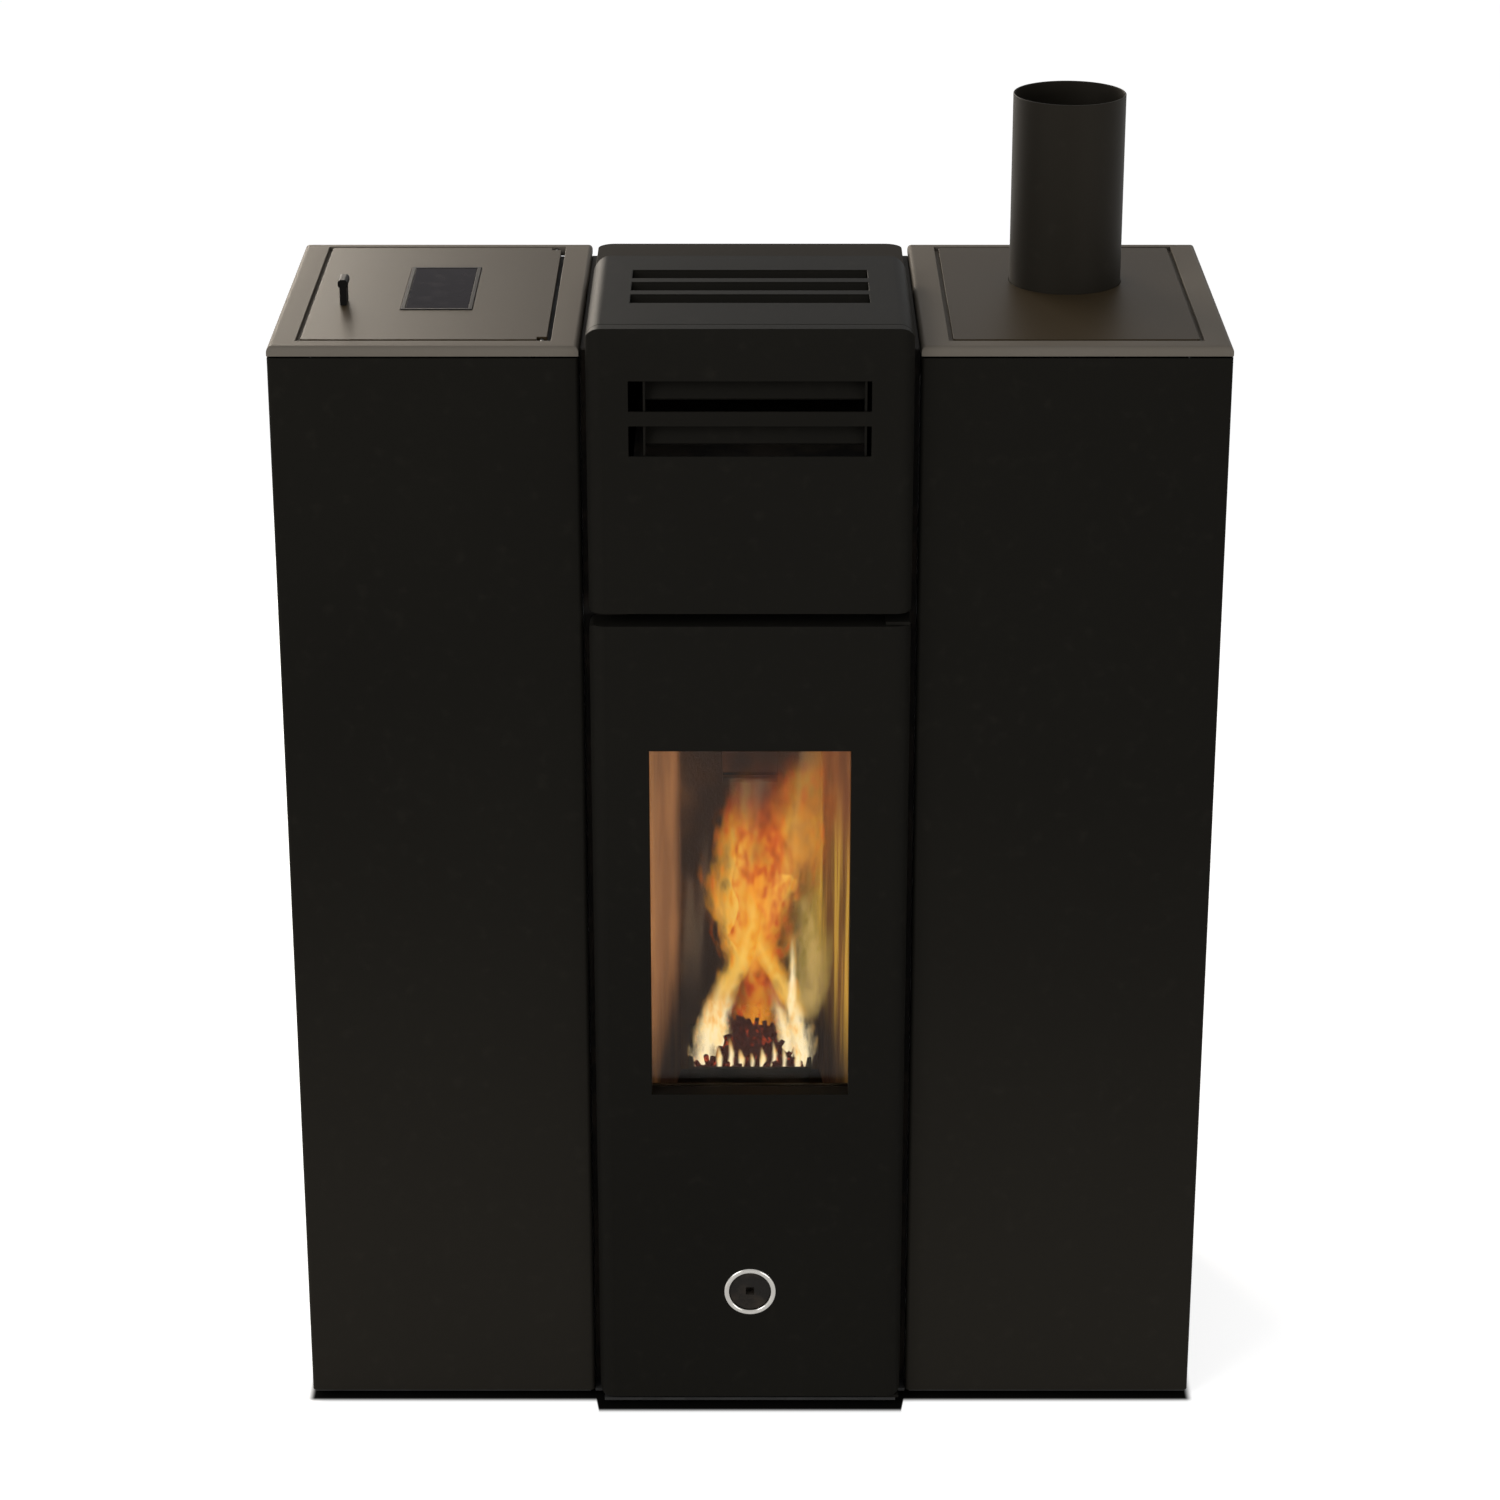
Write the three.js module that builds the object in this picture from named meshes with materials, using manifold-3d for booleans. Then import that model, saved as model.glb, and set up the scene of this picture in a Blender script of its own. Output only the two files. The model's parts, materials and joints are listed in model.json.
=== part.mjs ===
// A slim pellet stove: two flat side modules with a slightly proud centre column.
// The left module holds the pellet hopper, the column the fire and the warm-air outlets,
// and the right module the smoke fan and the flue.
//
// Units are millimetres. X runs to the right, Y to the back and Z up. The origin is on the floor,
// in the middle of the stove's width and depth. Inside the stove, depths are counted from the
// front face of the side modules, so the whole body is one group that is shifted in Y.

import * as THREE from 'three';
import { mergeVertices } from 'three/addons/utils/BufferGeometryUtils.js';
import Module from 'manifold-3d';

const wasm = await Module();
wasm.setup();

// ---------------------------------------------------------------- driving dimensions

// Overall layout
const columnWidth = 292;
const columnGap = 6;
const moduleWidth = 277;
const moduleDepth = 357;
const moduleTop = 1069;
const columnProud = 20;
const columnRise = 22;
const hoodDepth = 249;
const rosetteProud = 1.5;

// Sheet metal, the clearance between pieces that touch, and how far a cut runs past its face
const fit = 0.3;
const past = 1;
const skin = 1.5;
const columnSkin = 2.5;
const panelClear = 8;
const panelReturn = 14;
const edgeRadius = 4;
const rearRecess = 12;
const seam = 1.2;

// Levelling feet and base pan
const baseClear = 6;
const baseThickness = 3;
const baseFlange = 22;
const footInset = 34;
const footPadRadius = 20;
const footRimHeight = 4;
const footNeckRadius = 15;
const footStemRadius = 4;
const footStemTop = 34;
const tongueInset = 4;

// Top rims, lid and cover plate
const rimThickness = 9;
const rimRadius = 5;
const rimShadow = 1.5;
const rimOuter = 24;
const rimInner = 25.3;
const rimFront = 20;
const rimBack = 12;
const rimGap = 4;
const ledge = 8;
const coverThickness = 4;
const coverCorner = 3;

// Lid hinge
const lidPinRadius = 2;
const lidKnuckleRadius = 4;
const lidPinInset = 8.7;
const lidPinSeat = 8;

// Lid tab and display
const tabFromLidEdge = 28.5;
const tabDepthPlace = 145;
const tabLength = 22;
const tabHeight = 24;
const tabWidth = 9;
const tabStem = 6;
const tabHead = 8;
const displayFromLidEdge = 114.5;
const displayDepthPlace = 194.5;
const displayWidth = 66;
const displayLength = 148;
const displayBorder = 4;
const displayProud = 0.7;
const displayTray = 1.5;

// Hopper
const hopperInset = 5;
const hopperFlange = 2;
const hopperWall = 2;
const hopperStraightBottom = 800;
const outletWidth = 60;
const outletLength = 56;
const outletTop = 590;
const outletLip = 3;
const outletFromColumn = 138;

// Auger
const augerBehind = 13;
const augerRadius = 30;
const augerWall = 3;
const augerRise = 34;
const augerAxisDrop = 60;
const augerLowEnd = 70;
const augerHighEnd = 391;
const augerShaftRadius = 8;
const augerFlightClear = 1.5;
const augerFlightThickness = 3;
const augerPitch = 46;
const augerStepsPerTurn = 8;
const augerBearing = 4;
const augerNeckWall = 3;
const spoutBottom = 660;
const gearboxLength = 50;
const gearboxHeight = 70;
const gearboxWidth = 60;
const gearMotorRadius = 27;
const gearMotorLength = 66;
const couplingDepth = 30;

// Door and its window
const doorHeight = 800;
const doorThickness = 32;
const doorWall = 3;
const doorRadius = 15;
const doorCorner = 6;
const doorReveal = 12;
const windowWidth = 186;
const windowHeight = 350;
const windowBottom = 341;
const windowSurround = 8;
const glassRecess = 18;
const glassThickness = 4;
const glassOverlap = 6;
const innerPlateThickness = 4;
const innerPlateMargin = 37;
const sealWidth = 10;
const sealInset = 12;

// Door hinges
const hingeFromEdge = 12;
const hingeFromFront = 10;
const hingeLeaf = 3;
const hingeNose = 6.5;
const hingePinRadius = 4;
const hingePinLength = 24;
const hingeBlock = 20;
const hingeHalfWidth = 11;
const hingeFlange = 11;

// Latch
const latchHeight = 129;
const ringRadius = 25;
const ringBand = 5;
const ringSleeve = 2;
const dishDepth = 2.5;
const dishThickness = 3;
const socketSize = 8;
const socketDepth = 10;
const spindleRadius = 7;
const camLength = 40;
const camWidth = 12;
const camThickness = 4;
const camBehindFrame = 3;
const latchWindowHalf = 14;
const latchWindowMargin = 4;

// Upper front panel, raised top and louvres
const hoodSide = 30;
const hoodRadius = 14;
const hoodBackRadius = 18;
const capRadius = 16;
const capSink = 2.3;
const deckEdge = 26;
const slotHalfWidth = 108;
const slotSize = 28;
const slotPitch = 41.5;
const slotsFromTop = 48;
const topSlotStart = 86;
const topSlotPitch = 42;
const frontBladeLeft = 94;
const frontBladeRight = 103;
const frontBladeRise = 10;
const frontBladeSetBack = 9;
const frontBladeLean = 12;
const topBladeReach = 17;
const topBladeDrop = 17;
const bladeThickness = 2;

// Welded fire-chamber body
const frameSetBack = 20;
const frameThickness = 3;
const chamberWall = 3;
const rearSpace = 89;
const chamberFloor = 240;
const ashFloor = 160;
const ceilingClear = 75;
const mouthSide = 9;
const mouthBelow = 41;
const mouthAbove = 49;
const ashMouthHalf = 100;
const ashMouthTop = 232;
const airMouthHalf = 112;
const airMouthBottom = 34;
const airMouthTop = 26;
const smokePortHalf = 90;
const smokePortFront = 45;
const smokePortDepth = 60;

// Liners and baffle
const linerThickness = 12;
const linerFlare = 24;
const linerBesideWindow = 1;
const baffleThickness = 6;
const baffleRise = 30;
const baffleBackDrop = 38;
const baffleFront = 60;
const baffleSeat = 6;

// Burn pot
const potDepthPlace = 130;
const potLowHalfX = 48;
const potLowHalfY = 38;
const potHighHalfX = 60;
const potHighHalfY = 50;
const potTop = 320;
const potBottom = 216;
const potWall = 4;
const potFlange = 10;
const potHoleClear = 2;
const potAirHole = 3;
const potAirPitch = 24;

// Ash drawer
const drawerHalf = 96;
const drawerWall = 2;
const drawerHeight = 50;
const drawerFrontTop = 66;
const drawerGripHalf = 32;
const drawerGripDepth = 9;

// Igniter and pellet chute
const igniterRadius = 5;
const igniterBehind = 36;
const igniterHeight = 253;
const igniterFlange = 12;
const igniterTipClear = 2;
const chuteWall = 3;
const chuteMouthBottom = 552;
const chuteMouthHeight = 60;
const chuteShelf = 28;

// Heat exchanger
const exchangerHeight = 180;
const exchangerFront = 40;
const exchangerWall = 3;
const tubeOuterRadius = 13;
const tubeWall = 2;
const tubeColumns = 4;
const tubeRows = 3;
const tubePitchX = 48;
const tubePitchZ = 45;
const tubeFirstRow = 45;

// Smoke path and flue
const smokeRadius = 38;
const smokeWall = 2;
const smokeDepthPlace = 150;
const smokeAboveExchanger = 90;
const flueRadius = 52;
const flueWall = 2;
const flueTop = 1246;
const flueFromColumn = 142.5;
const flueDepthPlace = 225;
const flueOverlap = 20;
const flueDuctWall = 2;

// Smoke fan
const smokeFanBottom = 470;
const smokeFanHeight = 63;
const smokeFanRadius = 80;
const smokeFanWall = 2.5;
const smokeFanShift = 59.5;
const impellerRadius = 62;
const impellerPlate = 3;
const impellerClear = 5;
const impellerBlades = 12;
const impellerBladeLength = 26;
const impellerHub = 11;
const smokeShaftRadius = 6;
const smokeShaftHole = 8;
const smokeMotorRadius = 45;
const smokeMotorHeight = 72;
const smokeShaftDepth = 40;

// Room-air fan
const roomFanClear = 1;
const roomFanThroat = 3;
const roomFanHalf = 80;
const roomFanTop = 150;
const roomFanWall = 2;
const roomFanAxisZ = 62;
const roomFanBore = 40;
const roomRotorRadius = 34;
const roomRotorClear = 2;
const roomBladeThickness = 1.6;
const roomBladeWidth = 8;
const roomRotorBlades = 16;
const roomRotorHub = 8;
const roomShaftRadius = 4;
const roomMotorRadius = 28;
const roomMotorLength = 22;
const roomInletHeight = 46;
const roomFanShift = -16;

// Electrical pieces
const boardDepth = 60;
const boardLength = 180;
const boardBottom = 120;
const boardHeight = 180;
const boardThickness = 1.6;
const standoff = 8;
const standoffRadius = 3;
const transformerHeight = 34;
const relayHeight = 18;
const chipHeight = 6;
const terminalHeight = 12;
const inletX = -330;
const inletHeight = 91;
const inletHalfWidth = 29;
const inletHalfHeight = 30;
const inletFlange = 3;
const inletBody = 27;
const socketHalfWidth = 12.3;
const socketHalfHeight = 8.5;
const socketBelow = 12;
const socketBlind = 16;
const bladeSetBack = 5.5;
const pinThickness = 2;
const pinWidth = 4;
const switchAbove = 15;
const switchHalfWidth = 10;
const switchHalfHeight = 7.4;
const rockerClear = 1;
const rockerSink = 3;
const rockerProud = 4.5;
const rockerDip = 3;
const rockerRoot = 5;
const rockerHeel = 7;
const switchTilt = 10;
const resetX = -268;
const resetRadius = 6;
const resetFlange = 9;
const resetProud = 6;

// Combustion-air pipe
const airPipeRadius = 25;
const airPipeWall = 2;
const airPipeX = 60;
const airPipeHeight = 198;
const airPipeProud = 9;

// Rear ventilation slots
const ventHalf = 40;
const ventHeight = 6;
const ventPitch = 16;
const ventRows = 7;
const ventBottomLeft = 380;
const ventBottomMiddle = 24;
const ventBottomRight = 250;

// ---------------------------------------------------------------- derived places

const columnHalf = columnWidth / 2;
const moduleInner = columnHalf + columnGap;
const moduleOuter = moduleInner + moduleWidth;
const columnFront = -columnProud;
const columnTop = moduleTop + columnRise;
const overallDepth = rosetteProud + columnProud + moduleDepth;
const bodyShift = overallDepth / 2 - moduleDepth;

const baseTop = baseClear + baseThickness;
const rearPanelFront = moduleDepth - rearRecess - skin;
const rearPanelBack = rearPanelFront + skin;
const rimBottom = moduleTop - rimThickness;
const casingTop = rimBottom - fit;
const hoodBottom = columnTop - hoodSide;

const openingInner = moduleInner + rimInner;
const openingOuter = moduleOuter - rimOuter;
const openingBack = moduleDepth - rimBack;
const coverInner = openingInner + rimGap;
const coverOuter = openingOuter - rimGap;
const coverFront = rimFront + rimGap;
const coverBack = openingBack - rimGap;
const coverBottom = moduleTop - coverThickness;

const lidAxisX = -(openingInner + lidPinInset);
const lidAxisZ = coverBottom;

const doorBottom = baseTop + fit + hingeLeaf + fit;
const doorTop = doorBottom + doorHeight;
const panelBottom = doorTop + doorReveal;
const windowHalf = windowWidth / 2;
const windowTop = windowBottom + windowHeight;
const glassFront = columnFront + glassRecess + fit;
const innerPlateFront = glassFront + glassThickness + fit;
const innerPlateBack = innerPlateFront + innerPlateThickness;
const hingeX = columnHalf - hingeFromEdge;
const hingeY = columnFront + hingeFromFront;

const frameFront = frameSetBack;
const frameBack = frameFront + frameThickness;
const chamberHalf = windowHalf + linerThickness + linerBesideWindow;
const chamberOuter = chamberHalf + chamberWall;
const chamberRear = rearPanelFront - rearSpace;
const chamberDepth = chamberRear - chamberWall;
const ceiling = windowTop + ceilingClear;
const chamberTop = ceiling + chamberWall;

const augerX = -(moduleInner + outletFromColumn);
const augerDepth = rearPanelFront - augerBehind - augerRadius;
const augerZ = outletTop - augerAxisDrop;
const augerSlope = THREE.MathUtils.degToRad(augerRise);
const spoutAlong = -augerX / Math.cos(augerSlope);

const exchangerBottom = chamberTop + fit;
const exchangerTop = exchangerBottom + exchangerHeight;
const smokeZ = exchangerBottom + smokeAboveExchanger;
const flueX = moduleInner + flueFromColumn;
const flueDuctRadius = flueRadius - flueWall - fit;
const smokeFanTop = smokeFanBottom + smokeFanHeight;
const roomFanFront = chamberRear + roomFanClear;
const roomFanAxisY = roomFanFront + roomFanThroat + roomFanBore;
const smokeFanX = flueX - smokeFanShift;
const igniterTip = potDepthPlace + potHighHalfY + igniterTipClear;

// ---------------------------------------------------------------- finishes

const finish = (color, roughness, metalness) =>
  new THREE.MeshStandardMaterial({ color, roughness, metalness });
const blackPowder = finish(0x1b1a18, 0.5, 0.3);
const darkTop = finish(0x4a443d, 0.35, 0.3);
const blackPipe = finish(0x2c2925, 0.5, 0.4);
const bareSteel = finish(0x9a9a98, 0.4, 0.9);
const zinc = finish(0xa9adb0, 0.45, 0.85);
const castIron = finish(0x2b2927, 0.8, 0.5);
const vermiculite = finish(0xa5793f, 0.9, 0.0);
const ceramicGlass = finish(0x3a2a1c, 0.08, 0.0);
const screenGlass = finish(0x3c4250, 0.12, 0.0);
const blackPlastic = finish(0x141414, 0.5, 0.0);
const ropeSeal = finish(0x3b3a38, 0.95, 0.0);
const chrome = finish(0xc8c8c8, 0.2, 1.0);
const circuitGreen = finish(0x1f5a35, 0.5, 0.1);
const motorGrey = finish(0x6f7376, 0.5, 0.7);
const redPlastic = finish(0x8f1712, 0.45, 0.0);

// ---------------------------------------------------------------- solid helpers

/** Turns a closed three.js geometry into a solid that can be cut and joined. */
function solid(shape) {
  if (shape instanceof wasm.Manifold) return shape;
  const bare = new THREE.BufferGeometry();
  bare.setAttribute('position', shape.attributes.position);
  bare.setIndex(shape.index);
  const merged = mergeVertices(bare, 1e-4);
  const corners = merged.index.array;
  const points = merged.attributes.position.array;
  const triangles = [];
  for (let i = 0; i < corners.length; i += 3) {
    const [a, b, c] = corners.slice(i, i + 3);
    if (a !== b && b !== c && c !== a) triangles.push(a, b, c);
  }
  if (signedVolume(points, triangles) < 0) triangles.reverse();
  return new wasm.Manifold(new wasm.Mesh({
    numProp: 3,
    vertProperties: new Float32Array(points),
    triVerts: new Uint32Array(triangles),
  }));
}

/** Six times the volume inside a triangle list, negative where its faces point inwards. */
function signedVolume(points, triangles) {
  const [a, b, c] = [new THREE.Vector3(), new THREE.Vector3(), new THREE.Vector3()];
  let sum = 0;
  for (let i = 0; i < triangles.length; i += 3) {
    a.fromArray(points, triangles[i] * 3);
    b.fromArray(points, triangles[i + 1] * 3);
    c.fromArray(points, triangles[i + 2] * 3);
    sum += a.dot(b.cross(c));
  }
  return sum;
}

const join = (...shapes) => shapes.map(solid).reduce((whole, shape) => whole.add(shape));
const cut = (shape, ...tools) => solid(shape).subtract(join(...tools));
const common = (first, second) => solid(first).intersect(solid(second));

/** A rectangular block between two corners. */
function block([x0, x1], [y0, y1], [z0, z1]) {
  const shape = new THREE.BoxGeometry(x1 - x0, y1 - y0, z1 - z0);
  return shape.translate((x0 + x1) / 2, (y0 + y1) / 2, (z0 + z1) / 2);
}

/** An outline extruded along x, y or z. It lies in (y, z), (x, z) or (x, y). */
function prism(outline, axis, [from, to], curveSegments = 6) {
  const shape = outline instanceof THREE.Shape ? outline : polygon(outline);
  const options = { depth: to - from, bevelEnabled: false, curveSegments };
  const geometry = new THREE.ExtrudeGeometry(shape, options);
  if (axis === 'z') return geometry.translate(0, 0, from);
  if (axis === 'y') return geometry.rotateX(Math.PI / 2).translate(0, to, 0);
  return geometry.rotateX(Math.PI / 2).rotateZ(Math.PI / 2).translate(from, 0, 0);
}

/** A closed shape through corner points. */
function polygon(points) {
  return new THREE.Shape(points.map(([u, v]) => new THREE.Vector2(u, v)));
}

/** A rectangle whose corners are rounded, in the order low-left, low-right, high-right, high-left. */
function roundedRectangle([u0, u1], [v0, v1], [a, b, c, d]) {
  const shape = new THREE.Shape();
  shape.moveTo(u0 + a, v0);
  shape.lineTo(u1 - b, v0);
  if (b) shape.absarc(u1 - b, v0 + b, b, -Math.PI / 2, 0);
  shape.lineTo(u1, v1 - c);
  if (c) shape.absarc(u1 - c, v1 - c, c, 0, Math.PI / 2);
  shape.lineTo(u0 + d, v1);
  if (d) shape.absarc(u0 + d, v1 - d, d, Math.PI / 2, Math.PI);
  shape.lineTo(u0, v0 + a);
  if (a) shape.absarc(u0 + a, v0 + a, a, Math.PI, 1.5 * Math.PI);
  return shape;
}

/** A round bar along x, y or z, centred on two coordinates of the other axes in order. */
function rod(radius, axis, [from, to], [u, v], sides = 32) {
  const shape = new THREE.CylinderGeometry(radius, radius, to - from, sides);
  const middle = (from + to) / 2;
  if (axis === 'z') return shape.rotateX(Math.PI / 2).translate(u, v, middle);
  if (axis === 'y') return shape.translate(u, middle, v);
  return shape.rotateZ(-Math.PI / 2).translate(middle, u, v);
}

/** A pipe: the same as rod, with a bore that runs past both ends. */
function pipe(radius, wall, axis, [from, to], centre, sides = 32) {
  const bore = rod(radius - wall, axis, [from - past, to + past], centre, sides);
  return cut(rod(radius, axis, [from, to], centre, sides), bore);
}

/** A solid between a low and a high rectangle. */
function taper(low, high, [z0, z1]) {
  const shape = new THREE.BoxGeometry(1, 1, 1);
  const place = shape.attributes.position;
  for (let i = 0; i < place.count; i += 1) {
    const [[x0, x1], [y0, y1]] = place.getZ(i) > 0 ? high : low;
    const x = place.getX(i) > 0 ? x1 : x0;
    const y = place.getY(i) > 0 ? y1 : y0;
    place.setXYZ(i, x, y, place.getZ(i) > 0 ? z1 : z0);
  }
  return shape;
}

/** A solid of revolution about a vertical axis at (x, y), from [radius, height] points. */
function turned(profile, [x, y], sides = 32) {
  const points = profile.map(([r, z]) => new THREE.Vector2(r, z));
  return new THREE.LatheGeometry(points, sides).rotateX(Math.PI / 2).translate(x, y, 0);
}

/** A named mesh of one finished solid. */
function piece(name, shape, material) {
  const { vertProperties, triVerts } = solid(shape).getMesh();
  const geometry = new THREE.BufferGeometry();
  geometry.setAttribute('position', new THREE.BufferAttribute(vertProperties, 3));
  geometry.setIndex(new THREE.BufferAttribute(triVerts, 1));
  const faceted = geometry.toNonIndexed();
  faceted.computeVertexNormals();
  const mesh = new THREE.Mesh(faceted, material);
  mesh.name = name;
  return mesh;
}

/** A group of meshes or groups, optionally placed. */
function group(children, position = [0, 0, 0]) {
  const holder = new THREE.Group();
  holder.add(...children);
  holder.position.set(...position);
  return holder;
}

/** A range in x given for the right-hand side, mirrored where side is -1. */
const mirrored = (side, [a, b]) => (side > 0 ? [a, b] : [-b, -a]);

const half = (width) => [-width, width];

// ---------------------------------------------------------------- base, feet and rear panel

const footPlaces = [
  ['foot_front_left', -1, footInset],
  ['foot_front_right', 1, footInset],
  ['foot_back_left', -1, rearPanelFront - footInset],
  ['foot_back_right', 1, rearPanelFront - footInset],
].map(([name, side, y]) => [name, side * (moduleOuter - footInset), y]);

/** The floor pan with upturned edges, and a tongue that runs forward under the door. */
function basePan() {
  const pan = moduleOuter - skin - fit;
  const front = skin + fit;
  const back = rearPanelFront - fit;
  const sheet = [baseClear, baseTop];
  const edge = [baseClear, baseClear + baseFlange];
  const bend = edgeRadius - skin;
  const stems = footPlaces.map(([, x, y]) =>
    rod(footStemRadius + fit, 'z', [0, baseTop + past], [x, y], 16));
  const notches = [-1, 1].map((side) => block(
    mirrored(side, [moduleInner - fit, moduleInner + edgeRadius]),
    [front - past, panelReturn + fit],
    [baseClear - past, baseTop + past],
  ));
  return piece('base_pan', cut(
    join(
      prism(roundedRectangle(half(pan), [front, back], [bend, bend, 0, 0]), 'z', sheet),
      block(half(columnHalf - tongueInset), [columnFront + tongueInset, front + past], sheet),
      block([-pan, skin - pan], [panelReturn + seam, back], edge),
      block([pan - skin, pan], [panelReturn + seam, back], edge),
    ),
    ...notches,
    ...stems,
  ), zinc);
}

/** A levelling foot: a round pad under the pan and a stem that screws through it. */
function foot([name, x, y]) {
  const profile = [
    [0, 0],
    [footPadRadius, 0],
    [footPadRadius, footRimHeight],
    [footNeckRadius, baseClear - fit],
    [footStemRadius, baseClear - fit],
    [footStemRadius, footStemTop],
    [0, footStemTop],
  ];
  return piece(name, turned(profile, [x, y], 16), blackPlastic);
}

/** The full-width back sheet, with vents and the cut-outs for everything that passes it. */
function rearPanel() {
  const through = [rearPanelFront - past, rearPanelBack + past];
  const vents = [
    [-(moduleInner + outletFromColumn), ventBottomLeft],
    [0, ventBottomMiddle],
    [flueX, ventBottomRight],
  ].flatMap(([x, bottom]) => Array.from({ length: ventRows }, (_, row) => {
    const z = bottom + row * ventPitch;
    return block([x - ventHalf, x + ventHalf], through, [z, z + ventHeight]);
  }));
  return piece('rear_panel', cut(
    block(half(moduleOuter - skin - fit), [rearPanelFront, rearPanelBack], [baseTop + fit, casingTop]),
    rod(airPipeRadius + fit, 'y', through, [airPipeX, airPipeHeight], 24),
    rod(resetRadius + fit, 'y', through, [resetX, inletHeight], 20),
    block(
      [inletX - inletHalfWidth + inletFlange, inletX + inletHalfWidth - inletFlange],
      through,
      [inletHeight - inletHalfHeight + inletFlange, inletHeight + inletHalfHeight - inletFlange],
    ),
    ...vents,
  ), blackPowder);
}

// ---------------------------------------------------------------- side modules

/** The front sheet of a module, bent back at both sides with small rounded bends. */
function modulePanel(name, side) {
  const place = [moduleInner, moduleOuter];
  const pocket = [moduleInner + skin, moduleOuter - skin];
  const bend = [edgeRadius, edgeRadius, 0, 0];
  const inner = edgeRadius - skin;
  const height = [panelClear, rimBottom - rimShadow];
  const outline = roundedRectangle(mirrored(side, place), [0, panelReturn], bend);
  const hollow = roundedRectangle(mirrored(side, pocket), [skin, panelReturn + past], [inner, inner, 0, 0]);
  return piece(name, cut(
    prism(outline, 'z', height, 4),
    prism(hollow, 'z', [0, moduleTop], 4),
  ), blackPowder);
}

/** The outer side sheet of a module. */
function sidePanel(name, side) {
  const sheet = mirrored(side, [moduleOuter - skin, moduleOuter]);
  return piece(name, block(sheet, [panelReturn + seam, moduleDepth], [panelClear, casingTop]), blackPowder);
}

/** The sheet between a module and the column, with the opening that its passage needs. */
function innerPanel(name, side, passage) {
  const sheet = mirrored(side, [moduleInner, moduleInner + skin]);
  const height = [baseTop + fit, casingTop];
  return piece(name, cut(
    block(sheet, [panelReturn + seam, rearPanelFront - fit], height),
    passage,
  ), zinc);
}

/** The opening where the auger tube passes the left inner panel. */
function augerPassage() {
  const along = (-moduleInner - augerX) * Math.tan(augerSlope);
  const reach = augerRadius / Math.cos(augerSlope) + fit + skin * Math.tan(augerSlope);
  const middle = augerZ + along;
  return block(
    [-moduleInner - 2 * skin, -moduleInner + skin],
    [augerDepth - augerRadius - fit, augerDepth + augerRadius + fit],
    [middle - reach, middle + reach],
  );
}

/** The opening where the smoke duct passes the right inner panel. */
function smokePassage() {
  const through = [moduleInner - skin, moduleInner + 2 * skin];
  return rod(smokeRadius + fit, 'x', through, [smokeDepthPlace, smokeZ]);
}

/** The thick rim round a module's top, with a rounded upper edge and a ledge inside it. */
function topRim(name, side, extraCuts) {
  const [x0, x1] = mirrored(side, [moduleInner, moduleOuter]);
  const shape = polygon([
    [x0 + rimRadius, rimRadius],
    [x1 - rimRadius, rimRadius],
    [x1 - rimRadius, moduleDepth - rimRadius],
    [x0 + rimRadius, moduleDepth - rimRadius],
  ]);
  const slab = new THREE.ExtrudeGeometry(shape, {
    depth: rimThickness,
    bevelSize: rimRadius,
    bevelThickness: rimRadius,
    bevelSegments: 4,
  }).translate(0, 0, moduleTop - rimThickness - rimRadius);
  const [a, b] = mirrored(side, [openingInner, openingOuter]);
  return piece(name, cut(
    slab,
    block([x0 - past, x1 + past], [-past, moduleDepth + past], [moduleTop - 3 * rimThickness, rimBottom]),
    block([a, b], [rimFront, openingBack], [coverBottom - fit, moduleTop + past]),
    block([a + ledge, b - ledge], [rimFront + ledge, openingBack - ledge], [rimBottom - past, moduleTop]),
    ...extraCuts,
  ), darkTop);
}

/** The room that the lid's hinge needs: no ledge beside it, and a blind hole for each pin end. */
function lidHingeCuts() {
  const besideHinge = [lidAxisX - lidPinInset - ledge, -openingInner];
  return [
    block(besideHinge, [rimFront, openingBack], [rimBottom - past, moduleTop]),
    rod(
      lidPinRadius + fit,
      'y',
      [rimFront - lidPinSeat, openingBack + lidPinSeat],
      [lidAxisX, lidAxisZ],
      12,
    ),
  ];
}

/** The flush plate on the right module, with the hole that the flue pipe passes through. */
function coverPlate() {
  const corners = Array(4).fill(coverCorner);
  const outline = roundedRectangle([coverInner, coverOuter], [coverFront, coverBack], corners);
  const through = [coverBottom - past, moduleTop + past];
  const hole = rod(flueRadius + fit, 'z', through, [flueX, flueDepthPlace], 48);
  return piece('flue_cover_plate', cut(prism(outline, 'z', [coverBottom, moduleTop]), hole), darkTop);
}

// ---------------------------------------------------------------- lid

const lidLeft = -coverOuter;
const displayX = lidLeft + displayFromLidEdge;
const tabX = lidLeft + tabFromLidEdge;
const displayHalf = [displayWidth / 2, displayLength / 2];

/** A rectangle centred on the display, grown or shrunk by a margin. */
function displayArea(margin) {
  const [w, l] = displayHalf;
  return [
    [displayX - w - margin, displayX + w + margin],
    [displayDepthPlace - l - margin, displayDepthPlace + l + margin],
  ];
}

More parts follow.
